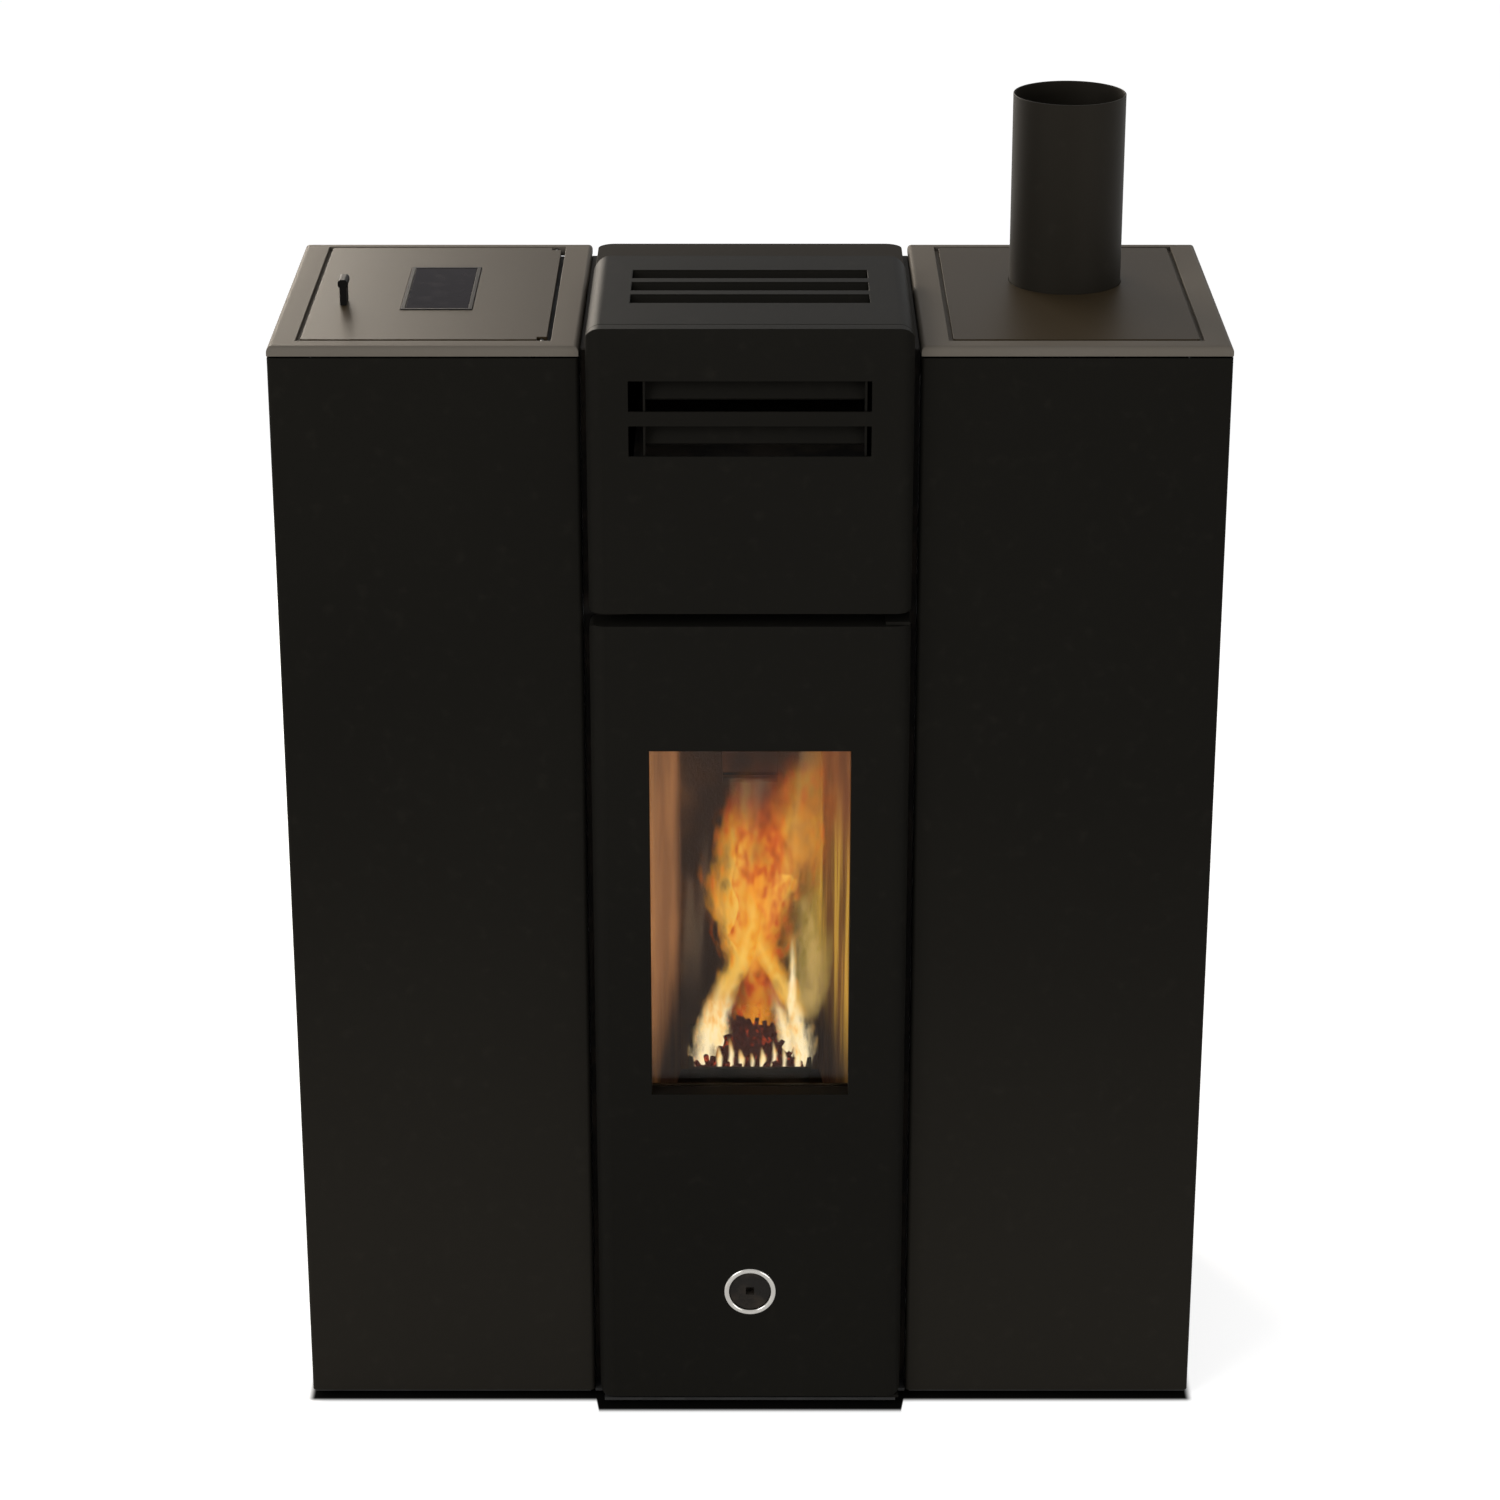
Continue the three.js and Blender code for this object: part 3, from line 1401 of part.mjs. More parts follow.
/** The turning latch: a dished disc with a square socket, a spindle and the cam behind the frame. */
function latchSpindle() {
  const dish = columnFront - rosetteProud + dishDepth;
  const disc = [dish, dish + dishThickness];
  const cam = [frameBack + camBehindFrame, frameBack + camBehindFrame + camThickness];
  const place = [0, latchHeight];
  const socket = half(socketSize / 2);
  return piece('latch_spindle', cut(
    join(
      rod(ringRadius - ringBand - fit, 'y', disc, place, 48),
      rod(spindleRadius, 'y', [disc[0], cam[1]], place, 24),
      block(
        half(camWidth / 2),
        cam,
        [latchHeight - camLength / 2, latchHeight + camLength / 2],
      ),
    ),
    block(socket, [disc[0] - past, disc[0] + socketDepth], socket.map((z) => z + latchHeight)),
  ), castIron);
}

/** A hinge leaf with its pin and a flange against the front frame. */
function doorHinge(name, leafBottom, flangeHeight, pinFrom, pinTo) {
  const width = [hingeX - hingeHalfWidth, hingeX + hingeHalfWidth];
  const back = frameFront - fit;
  return piece(name, join(
    block(width, [hingeY - hingeNose, back], [leafBottom, leafBottom + hingeLeaf]),
    block(width, [back - hingeLeaf, back], [leafBottom, leafBottom + flangeHeight]),
    rod(hingePinRadius, 'z', [pinFrom, pinTo], [hingeX, hingeY], 16),
  ), bareSteel);
}

function doorHinges() {
  const lowLeaf = baseTop + fit;
  const highLeaf = doorTop + fit;
  return [
    doorHinge('door_hinge_lower', lowLeaf, hingeFlange, lowLeaf + past, doorBottom + hingePinLength),
    doorHinge('door_hinge_upper', highLeaf, hingeFlange, doorTop - hingePinLength, highLeaf + past),
  ];
}

// ---------------------------------------------------------------- column top

/** The outline of the column as seen from above or from the front, drawn in by an inset. */
function columnPlan(inset, back) {
  const bend = doorRadius - inset;
  return roundedRectangle(half(columnHalf - inset), [columnFront + inset, back], [bend, bend, 0, 0]);
}

function columnElevation(inset, bottom) {
  const bend = hoodRadius - inset;
  return roundedRectangle(half(columnHalf - inset), [bottom, columnTop - inset], [0, 0, bend, bend]);
}

const frontSlots = [0, 1].map((i) => {
  const top = columnTop - slotsFromTop - i * slotPitch;
  return [top - slotSize, top];
});

/** The panel over the door: bent sides, a rounded top, and two louvre slots. */
function upperFrontPanel() {
  const back = frameFront - fit;
  const outer = common(
    prism(columnPlan(0, back), 'z', [panelBottom, columnTop]),
    prism(columnElevation(0, panelBottom), 'y', [columnFront - past, back + past]),
  );
  const inner = common(
    prism(columnPlan(columnSkin, back + past), 'z', [panelBottom + columnSkin, columnTop]),
    prism(columnElevation(columnSkin, panelBottom - past), 'y', [columnFront - past, back + 2 * past]),
  );
  const slots = frontSlots.map((z) =>
    block(half(slotHalfWidth), [columnFront - past, columnFront + doorRadius], z));
  const behindHood = block(
    half(columnHalf + past),
    [columnFront + doorRadius, back + past],
    [hoodBottom - fit, columnTop + past],
  );
  return piece('upper_front_panel', cut(outer, inner, behindHood, ...slots), blackPowder);
}

/** The two blades behind the front slots, on a pair of end strips that touch the panel. */
function louvreInsert() {
  const behind = columnFront + columnSkin + fit;
  const ends = [-frontBladeLeft, frontBladeRight];
  const blades = frontSlots.map(([low, high]) => {
    const near = columnFront + frontBladeSetBack;
    const far = near + frontBladeLean;
    const foot = low + frontBladeRise;
    return prism([
      [near, foot],
      [near + bladeThickness, foot - bladeThickness],
      [far + bladeThickness, high + bladeThickness],
      [far, high + 2 * bladeThickness],
    ], 'x', ends);
  });
  const lowest = frontSlots[1][0];
  const highest = frontSlots[0][1];
  const depth = [behind, columnFront + frontBladeSetBack + frontBladeLean];
  const strips = ends.map((x) => block(
    [x - bladeThickness / 2, x + bladeThickness / 2],
    depth,
    [lowest, highest + 2 * bladeThickness],
  ));
  return piece('louvre_insert', join(...blades, ...strips), blackPowder);
}

/** The raised top behind the panel: rounded shoulders, three slots, and a blade under each. */
function columnHood() {
  const front = columnFront + doorRadius + fit;
  const back = columnFront + hoodDepth;
  const bendDepth = hoodBackRadius + columnSkin;
  const rearCorners = (inset, from) => roundedRectangle(
    half(columnHalf - inset),
    [from, back - inset],
    [0, 0, hoodBackRadius - inset, hoodBackRadius - inset],
  );
  const outer = common(
    prism(columnElevation(0, hoodBottom), 'y', [front, back]),
    prism(rearCorners(0, front - past), 'z', [hoodBottom - past, columnTop + past]),
  );
  const inner = common(
    prism(columnElevation(columnSkin, hoodBottom - bendDepth), 'y', [front - past, back]),
    prism(rearCorners(columnSkin, front - 2 * past), 'z', [hoodBottom - bendDepth, columnTop]),
  );
  const starts = [0, 1, 2].map((i) => columnFront + topSlotStart + i * topSlotPitch);
  const slots = starts.map((y) =>
    block(half(slotHalfWidth), [y, y + slotSize], [columnTop - 2 * columnSkin, columnTop + past]));
  const blades = starts.map((y) => {
    const edge = y + slotSize;
    const top = columnTop - columnSkin + past;
    return prism([
      [edge, top],
      [edge - topBladeReach, top - topBladeDrop],
      [edge - topBladeReach, top - topBladeDrop - bladeThickness],
      [edge + bladeThickness, top],
    ], 'x', half(slotHalfWidth));
  });
  return piece('column_hood', join(cut(outer, inner, ...slots), ...blades), blackPowder);
}

/** The deck across the column: it carries the raised top, and its back bar shows behind that. */
function columnDeck() {
  const bar = [columnFront + hoodDepth + fit, moduleDepth];
  const outline = roundedRectangle(half(columnHalf), bar, [0, 0, capRadius, capRadius]);
  const low = rimBottom - capSink;
  const deck = [frameBack + fit, rearPanelFront - fit];
  return piece('column_deck', cut(
    join(
      prism(outline, 'z', [rimBottom, moduleTop]),
      block(half(moduleInner - fit), deck, [low, hoodBottom - fit]),
    ),
    block(half(slotHalfWidth), [frameBack + deckEdge, bar[0] - deckEdge], [low - past, hoodBottom]),
  ), darkTop);
}

// ---------------------------------------------------------------- electrical pieces and air pipe

/** The control board on its standoffs, held by the left inner panel. */
function controlBoard() {
  const wall = -(moduleInner + skin + fit);
  const sheet = [wall - standoff - boardThickness, wall - standoff];
  const depth = [boardDepth, boardDepth + boardLength];
  const height = [boardBottom, boardBottom + boardHeight];
  const posts = [0.1, 0.9].flatMap((u) => [0.1, 0.9].map((v) => {
    const place = [depth[0] + u * boardLength, height[0] + v * boardHeight];
    return rod(standoffRadius, 'x', [sheet[1] - past, wall], place, 8);
  }));
  const parts = [
    [0.08, 0.1, 0.3, 0.34, transformerHeight],
    [0.46, 0.12, 0.16, 0.14, relayHeight],
    [0.7, 0.12, 0.16, 0.14, relayHeight],
    [0.12, 0.6, 0.22, 0.22, chipHeight],
    [0.46, 0.5, 0.42, 0.12, terminalHeight],
    [0.46, 0.78, 0.42, 0.1, terminalHeight],
  ].map(([u, v, length, tall, proud]) => {
    const y = depth[0] + u * boardLength;
    const z = height[0] + v * boardHeight;
    const root = sheet[0] + boardThickness / 3;
    return block([sheet[0] - proud, root], [y, y + length * boardLength], [z, z + tall * boardHeight]);
  });
  return piece('control_board', join(block(sheet, depth, height), ...posts, ...parts), circuitGreen);
}

/** The moulded mains inlet: a three-blade socket below and the frame of the switch above it. */
function mainsInlet() {
  const face = rearPanelBack + fit;
  const outside = face + inletFlange;
  const x = [inletX - inletHalfWidth, inletX + inletHalfWidth];
  const z = [inletHeight - inletHalfHeight, inletHeight + inletHalfHeight];
  const inside = ([a, b]) => [a + inletFlange + fit, b - inletFlange - fit];
  const socketZ = inletHeight - socketBelow;
  const switchZ = inletHeight + switchAbove;
  const blindY = outside - socketBlind;
  const blades = [[-7, -1.5], [7, -1.5], [0, 3]].map(([dx, dz]) => block(
    [inletX + dx - pinThickness / 2, inletX + dx + pinThickness / 2],
    [blindY - past, outside - bladeSetBack],
    [socketZ + dz - pinWidth / 2, socketZ + dz + pinWidth / 2],
  ));
  const shell = cut(
    join(
      block(x, [face, outside], z),
      block(inside(x), [outside - inletBody, face + past], inside(z)),
    ),
    block(
      [inletX - socketHalfWidth, inletX + socketHalfWidth],
      [blindY, outside + past],
      [socketZ - socketHalfHeight, socketZ + socketHalfHeight],
    ),
    block(
      [inletX - switchHalfWidth - fit, inletX + switchHalfWidth + fit],
      [blindY, outside + past],
      [switchZ - switchHalfHeight, switchZ + switchHalfHeight],
    ),
  );
  return piece('mains_inlet', join(shell, ...blades), blackPlastic);
}

/** The rocker of the mains switch, tipped to one side about its own centre line. */
function mainsSwitch() {
  const reach = switchHalfHeight - rockerClear;
  const outline = [
    [-rockerRoot, -reach],
    [rockerProud, -reach],
    [rockerDip, 0],
    [rockerProud, reach],
    [-rockerRoot, reach],
    [-rockerHeel, 0],
  ];
  const rocker = piece('mains_switch', prism(outline, 'x', half(switchHalfWidth)), redPlastic);
  rocker.rotation.x = THREE.MathUtils.degToRad(-switchTilt);
  const face = rearPanelBack + fit + inletFlange;
  rocker.position.set(inletX, face - rockerSink, inletHeight + switchAbove);
  return rocker;
}

/** The push button that resets the overheat cut-out. */
function resetButton() {
  const inside = rearPanelFront - fit;
  const place = [resetX, inletHeight];
  return piece('reset_button', join(
    rod(resetRadius, 'y', [inside - skin, rearPanelBack + resetProud], place, 20),
    rod(resetFlange, 'y', [inside - skin, inside], place, 20),
  ), redPlastic);
}

/** The pipe that brings combustion air through the rear panel to the ash space. */
function airPipe() {
  const length = [chamberRear + fit, rearPanelBack + airPipeProud];
  const shape = pipe(airPipeRadius, airPipeWall, 'y', length, [airPipeX, airPipeHeight], 24);
  return piece('air_pipe', shape, bareSteel);
}

// ---------------------------------------------------------------- assembly

const body = group([
  basePan(),
  ...footPlaces.map(foot),
  rearPanel(),
  modulePanel('left_front_panel', -1),
  modulePanel('right_front_panel', 1),
  sidePanel('left_side_panel', -1),
  sidePanel('right_side_panel', 1),
  innerPanel('left_inner_panel', -1, augerPassage()),
  innerPanel('right_inner_panel', 1, smokePassage()),
  topRim('left_top_rim', -1, lidHingeCuts()),
  topRim('right_top_rim', 1, []),
  coverPlate(),
  hopperLid(),
  lidHingeRod(),
  lidTab(),
  displayBezel(),
  displayScreen(),
  hopper(),
  augerTube(),
  augerDrive(),
  pelletChute(),
  fireBody(),
  ...liners(),
  bafflePlate(),
  burnPot(),
  ashDrawer(),
  igniter(),
  heatExchanger(),
  smokeDuct(),
  smokeFanHousing(),
  group([smokeFanImpeller(), smokeFanMotor()], [smokeFanX, smokeDepthPlace, 0]),
  flueDuct(),
  fluePipe(),
  group([roomFanHousing()], [roomFanShift, 0, 0]),
  group([roomFanRotor(), roomFanMotor()], [roomFanShift, roomFanAxisY, roomFanAxisZ]),
  doorShell(),
  doorGlass(),
  doorInnerPlate(),
  doorSeal(),
  latchRing(),
  latchSpindle(),
  ...doorHinges(),
  upperFrontPanel(),
  louvreInsert(),
  columnHood(),
  columnDeck(),
  controlBoard(),
  mainsInlet(),
  mainsSwitch(),
  resetButton(),
  airPipe(),
], [0, bodyShift, 0]);

const stove = group([body]);

export default stove;
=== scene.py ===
# %% [markdown]
# # A slim pellet stove, dressed for its photograph
# The solid model already holds every piece of the stove in its right place and size. This script
# loads it, gives each piece its edges and its finish, adds what is too fine for a solid model, such
# as the rope seal, the screws and the fire, and sets up the studio of the photograph.
# Every step has a short note first: what the thing is on a real stove, how it could be made, and
# why it is made in this way here.

# %% Load the solid model
import json
import math

import bmesh
import bpy
from mathutils import Matrix, Vector


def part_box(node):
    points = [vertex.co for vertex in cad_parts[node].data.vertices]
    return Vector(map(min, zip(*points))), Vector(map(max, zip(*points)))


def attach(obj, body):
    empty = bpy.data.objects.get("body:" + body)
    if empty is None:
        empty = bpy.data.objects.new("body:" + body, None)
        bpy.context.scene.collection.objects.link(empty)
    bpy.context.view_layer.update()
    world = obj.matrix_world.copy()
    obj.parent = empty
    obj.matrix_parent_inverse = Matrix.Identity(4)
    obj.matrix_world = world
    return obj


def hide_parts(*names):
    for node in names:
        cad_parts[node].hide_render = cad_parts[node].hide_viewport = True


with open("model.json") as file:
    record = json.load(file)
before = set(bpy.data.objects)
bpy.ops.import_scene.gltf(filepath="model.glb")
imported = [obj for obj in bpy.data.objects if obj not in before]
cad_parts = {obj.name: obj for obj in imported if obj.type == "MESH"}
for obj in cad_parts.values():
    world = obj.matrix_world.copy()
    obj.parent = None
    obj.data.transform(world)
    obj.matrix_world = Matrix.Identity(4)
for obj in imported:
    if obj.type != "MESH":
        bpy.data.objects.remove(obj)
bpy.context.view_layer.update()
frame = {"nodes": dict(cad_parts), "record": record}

# %% [markdown]
# ## Which body and which material slot a piece belongs to
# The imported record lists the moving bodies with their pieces, and the material slot of each piece.
# Both could be typed again here, but reading them keeps the looks in step with the solid model.

# %% Look up bodies and slots
record = frame["record"]
body_of_node = {
    node: body
    for body, members in record["behaviour"]["bodies"].items()
    for node in members
}
slot_of_node = {row["node"]: row["material_slot"] for row in record["subparts"]}

# %% [markdown]
# ## The camera
# The photograph looks at the stove from straight ahead and from above, with a long lens. Lens,
# distance and tilt were worked out from the corners of the stove, so the camera only repeats them.
# A closer camera with a wider lens would also fill the frame, but would make the top look deeper.


# %% Put something in the scene
def in_scene(name, data):
    """An object in the scene that shows a camera, a lamp or a mesh."""
    made = bpy.data.objects.new(name, data)
    bpy.context.scene.collection.objects.link(made)
    return made


# %% Place the camera
tilt_down = math.radians(21.8)
lens = bpy.data.cameras.new("photo_camera")
lens.lens = 98.06
lens.sensor_width = 36.0
camera = in_scene("photo_camera", lens)
camera.location = (0.0, -3.659, 2.081)
camera.rotation_euler = (math.radians(90.0) - tilt_down, 0.0, 0.0)
bpy.context.scene.camera = camera
bpy.context.scene.view_settings.view_transform = "Standard"
print("camera at", tuple(camera.location), "with a lens of", lens.lens, "mm")

# %% [markdown]
# ## Node trees in plain Python
# Materials and Geometry Nodes are both trees of nodes. They could be built by hand with a line for
# each node and each link, but that hides what is meant. A small class adds any node in one call,
# and a second class lets a value that varies over a surface be used in ordinary sums.


# %% One method that adds a node
class Tree:
    """A node tree under construction."""

    def __init__(self, group):
        self.group = group

    def node(self, kind, settings=None, sockets=None):
        """Adds a node: its settings first, then the values or links of its sockets."""
        made = self.group.nodes.new(kind)
        for name, value in (settings or {}).items():
            if name == "stops":
                self.fill_ramp(made.color_ramp, value)
            else:
                setattr(made, name, value)
        for name, value in (sockets or {}).items():
            self.plug(value, made.inputs[name])
        return made

    def fill_ramp(self, ramp, stops):
        """Gives a colour ramp its stops, each a place from 0 to 1 and a colour."""
        while len(ramp.elements) < len(stops):
            ramp.elements.new(1.0)
        for index, (place, colour) in enumerate(stops):
            ramp.elements[index].position = place
            ramp.elements[index].color = colour

    def plug(self, value, socket):
        """Sets a socket to a plain value, or links it to another socket."""
        value = getattr(value, "socket", value)
        if isinstance(value, bpy.types.NodeSocket):
            self.group.links.new(value, socket)
        else:
            socket.default_value = value


# %% A value that Python can do sums with
class Value:
    """A number that varies over a surface. Sums with it add Math nodes to its tree."""

    def __init__(self, tree, socket):
        self.tree = tree
        self.socket = socket

    def maths(self, operation, first, second=0.0):
        made = self.tree.node("ShaderNodeMath", {"operation": operation}, {0: first, 1: second})
        return Value(self.tree, made.outputs[0])

    def __add__(self, other):
        return self.maths("ADD", self, other)

    def __radd__(self, other):
        return self.maths("ADD", other, self)

    def __sub__(self, other):
        return self.maths("SUBTRACT", self, other)

    def __rsub__(self, other):
        return self.maths("SUBTRACT", other, self)

    def __mul__(self, other):
        return self.maths("MULTIPLY", self, other)

    def __rmul__(self, other):
        return self.maths("MULTIPLY", other, self)

    def __abs__(self):
        return self.maths("ABSOLUTE", self)

    def smooth(self, start, end):
        """0 before start and 1 after end, with a soft step between. Start may lie after end."""
        made = self.tree.node(
            "ShaderNodeMapRange",
            {"interpolation_type": "SMOOTHSTEP"},
            {"Value": self, "From Min": start, "From Max": end},
        )
        return Value(self.tree, made.outputs[0])


# %% [markdown]
# ## Colours as the eye reads them
# Blender works with linear light, while a colour as listed here is an sRGB value from 0 to 255.
# One function turns the second into the first, so that every colour below reads as it looks.


# %% Turn a seen colour into linear light
def seen(red, green, blue):
    """The linear colour, with alpha, of an sRGB colour from 0 to 255."""

    def linear(value):
        share = value / 255.0
        return share / 12.92 if share <= 0.04045 else ((share + 0.055) / 1.055) ** 2.4

    return (linear(red), linear(green), linear(blue), 1.0)


print("mid grey 128 is", round(seen(128, 128, 128)[0], 3), "in linear light")


# %% A material under construction
class Finish(Tree):
    """One finish of the stove: a Principled shader, and what varies over its surface."""

    def __init__(self, name, gloss=0.5, sockets=None):
        self.material = bpy.data.materials.new(name)
        self.material.use_nodes = True
        super().__init__(self.material.node_tree)
        self.shader = self.group.nodes["Principled BSDF"]
        self.output = self.group.nodes["Material Output"]
        self.set({"Specular IOR Level": gloss, **(sockets or {})})
        print("finish:", name)

    def set(self, sockets):
        """Sets or links the shader's own sockets."""
        for name, value in sockets.items():
            self.plug(value, self.shader.inputs[name])

    def place(self, stretch=(1.0, 1.0, 1.0)):
        """Where a point is on the object, in metres, stretched along x, y and z."""
        spot = self.node("ShaderNodeTexCoord").outputs["Object"]
        if stretch == (1.0, 1.0, 1.0):
            return spot
        return self.node("ShaderNodeMapping", sockets={"Vector": spot, "Scale": stretch}).outputs[0]

    def along(self, axis):
        """How far a point lies along x, y or z, in metres."""
        parts = self.node("ShaderNodeSeparateXYZ", sockets={0: self.place()})
        return Value(self, parts.outputs["xyz".index(axis)])

    def noise(self, scale, detail=2.0, stretch=(1.0, 1.0, 1.0)):
        """Cloudy noise with blobs of about 1 / scale metres."""
        sockets = {"Vector": self.place(stretch), "Scale": scale, "Detail": detail}
        return Value(self, self.node("ShaderNodeTexNoise", sockets=sockets).outputs[0])

    def grains(self, scale, stretch=(1.0, 1.0, 1.0)):
        """A Voronoi pattern, whose cells each have a random grey of their own."""
        cells = self.node(
            "ShaderNodeTexVoronoi", sockets={"Vector": self.place(stretch), "Scale": scale}
        )
        parts = self.node("ShaderNodeSeparateColor", sockets={0: cells.outputs["Color"]})
        return Value(self, parts.outputs[0]), Value(self, cells.outputs["Distance"])

    def mix(self, mask, first, second):
        """The first colour where the mask is 0 and the second where it is 1."""
        made = self.node("ShaderNodeMix", {"data_type": "RGBA"}, {0: mask, 6: first, 7: second})
        return made.outputs[2]

    def relief(self, height, depth):
        """Feeds a height from 0 to 1 to the shader's normal, depth metres deep."""
        made = self.node("ShaderNodeBump", sockets={"Distance": depth, "Height": height})
        self.set({"Normal": made.outputs[0]})


# %% [markdown]
# ## The studio: a pale floor and a white surround
# The photograph is cut out on white. A white backdrop far behind the stove would do, but then the
# sides and the back could not be looked at. So the world itself is white where the camera, a
# reflection or the glass looks at it, and a weaker grey as light, and the floor lifts to white for
# the same rays while it still takes the stove's shadow. Under the stove the floor is painted dark, a
# painted shadow.


# %% Find what kind of ray is looking
def looking_rays(tree):
    """1 for rays of the camera, of a reflection or through glass, and 0 for the others."""
    light = tree.node("ShaderNodeLightPath")
    looks = Value(tree, light.outputs["Is Camera Ray"])
    looks = looks.maths("MAXIMUM", looks, light.outputs["Is Glossy Ray"])
    return looks.maths("MAXIMUM", looks, light.outputs["Is Transmission Ray"])


# %% Paint the surround white
world = bpy.data.worlds.new("studio")
bpy.context.scene.world = world
world.use_nodes = True
surround = Tree(world.node_tree)
ambient = 0.42
sky = world.node_tree.nodes["Background"]
surround.plug((1.0, 1.0, 1.0, 1.0), sky.inputs["Color"])
surround.plug(ambient + looking_rays(surround) * (1.0 - ambient), sky.inputs["Strength"])
print("the surround lights the stove at", ambient, "and looks white")

# %% Lay the floor
floor_half = 9.0
just_below = -0.0002
floor_corners = [
    (x * floor_half, y * floor_half, just_below) for x, y in ((-1, -1), (1, -1), (1, 1), (-1, 1))
]
floor_mesh = bpy.data.meshes.new("floor")
floor_mesh.from_pydata(floor_corners, [], [(0, 1, 2, 3)])
in_scene("floor", floor_mesh)

# %% Paint the floor pale, with a painted shadow under the stove
white_lift = 0.74
column_side, column_ahead = (0.151, 0.147), 0.02
casing_side, casing_front, casing_back = (0.436, 0.427), (-0.178, -0.169), (0.21, 0.19)
floor_finish = Finish("pale_floor", 0.0, {"Roughness": 0.9})
speck = floor_finish.noise(300.0, 3.0)
sideways = abs(floor_finish.along("x"))
from_front = floor_finish.along("y") + sideways.smooth(*column_side) * column_ahead
# Painted shadow under the stove: this mask is 1 under the casing and the column, with soft edges.
# There the floor is coloured near black and loses its white lift.
painted_shadow_sides = sideways.smooth(*casing_side)
painted_shadow = painted_shadow_sides * from_front.smooth(*casing_front) * from_front.smooth(*casing_back)
pale = floor_finish.mix(speck, seen(206, 206, 206), seen(210, 210, 210))
floor_finish.set({"Base Color": floor_finish.mix(painted_shadow, pale, seen(14, 14, 13))})
glow_amount = looking_rays(floor_finish) * (1.0 - painted_shadow) * white_lift
floor_glow = floor_finish.node("ShaderNodeEmission", sockets={"Color": (1.0, 1.0, 1.0, 1.0)})
floor_finish.plug(glow_amount, floor_glow.inputs["Strength"])
floor_sum = floor_finish.node(
    "ShaderNodeAddShader", sockets={0: floor_finish.shader.outputs[0], 1: floor_glow.outputs[0]}
)
floor_finish.plug(floor_sum.outputs[0], floor_finish.output.inputs["Surface"])
floor_mesh.materials.append(floor_finish.material)
print("the floor is", floor_half * 2.0, "m wide")

# %% [markdown]
# ## The lamps
# Dark satin paint shows lamps more as reflections than as brightness. The large lamp on the left
# and in front shapes the fronts. A second one stands behind the stove on the left, out of the
# picture: the left lid mirrors it and turns grey, as it does in the photograph.


# %% Hang three softboxes
def softbox(name, place, aim, width, height, power, colour=(1.0, 1.0, 1.0)):
    """An area lamp at a place in metres, turned towards another one."""
    lamp = bpy.data.lights.new(name, "AREA")
    lamp.color = colour
    lamp.shape = "RECTANGLE"
    lamp.size = width
    lamp.size_y = height
    lamp.energy = power
    holder = in_scene(name, lamp)
    holder.location = place
    holder.rotation_euler = (Vector(aim) - Vector(place)).to_track_quat("-Z", "Y").to_euler()
    print(name, "gives", power, "watts at", place)


middle = (0.0, 0.0, 0.6)
softbox("key_softbox", (-3.0, -3.2, 2.6), middle, 2.4, 2.4, 100.0)
softbox("lid_softbox", (-1.95, 2.6, 1.9), (-1.95, 0.0, 1.5), 2.6, 1.6, 135.0, (1.0, 0.9, 0.77))
softbox("fill_softbox", (2.6, -3.4, 1.2), (0.0, 0.0, 0.3), 2.4, 1.2, 40.0)

# %% [markdown]
# ## The black powder coat
# The fronts, the door and the column are steel sheet with a baked powder coat. Close up it has a
# fine orange-peel surface, and from further off it is an even, very dark and slightly warm grey.
# A flat grey would look like card, so a fine noise gives the peel, and a slow one lets the gloss
# drift a little, as it does on large real panels.


# %% Mix the black powder coat
warm_gloss = (1.0, 0.9, 0.79, 1.0)
dust_and_floor_light_grey = seen(120, 112, 100)


def powder_coat(name, dark, light, gloss, roughness=0.42, foot=0.0):
    """A baked paint: fine orange peel, a slow drift of tone, specks of dust, and a foot painted
    paler as painted light from the floor.
    """
    coat = Finish(name, gloss, {"Specular Tint": warm_gloss})
    drift = coat.noise(3.0, 3.0)
    peel = coat.noise(1500.0, 2.0)
    dust = coat.noise(70.0, 5.0).smooth(0.55, 0.8)
    tone = coat.mix(drift, dark, light)
    # Specks of real dust, and the foot painted paler towards the floor: painted light from the
    # floor.
    pale = dust * 0.015 + coat.along("z").smooth(0.8, 0.0) * foot
    coat.set({
        "Base Color": coat.mix(pale, tone, dust_and_floor_light_grey),
        "Roughness": roughness + drift * 0.05 + peel * 0.06,
    })
    coat.relief(peel, 0.00004)
    return coat


black_powder = powder_coat("black_powder", seen(21, 20, 18), seen(26, 25, 22), 0.016)
# The front panels get the painted floor light at their foot.
side_powder = powder_coat("side_powder", seen(20, 19, 17), seen(25, 24, 21), 0.016, foot=0.05)

# %% [markdown]
# ## The paints of the top and the pipe
# The lid and the plate have a glossier paint of a dark grey-brown, the rims a paler matt one, and
# the flue pipe a stove paint. All come from the same function as the panels, because they are the
# same kind of coat with another colour and gloss.

# %% Mix the paints of the top and the pipe
top_paint = powder_coat("top_paint", seen(47, 39, 27), seen(53, 44, 31), 0.056)
rim_paint = powder_coat("rim_paint", seen(97, 91, 83), seen(105, 99, 91), 0.012)
deck_paint = powder_coat("deck_paint", seen(27, 22, 15), seen(31, 26, 18), 0.012)
pipe_paint = powder_coat("pipe_paint", seen(26, 24, 20), seen(32, 29, 24), 0.08, 0.5)
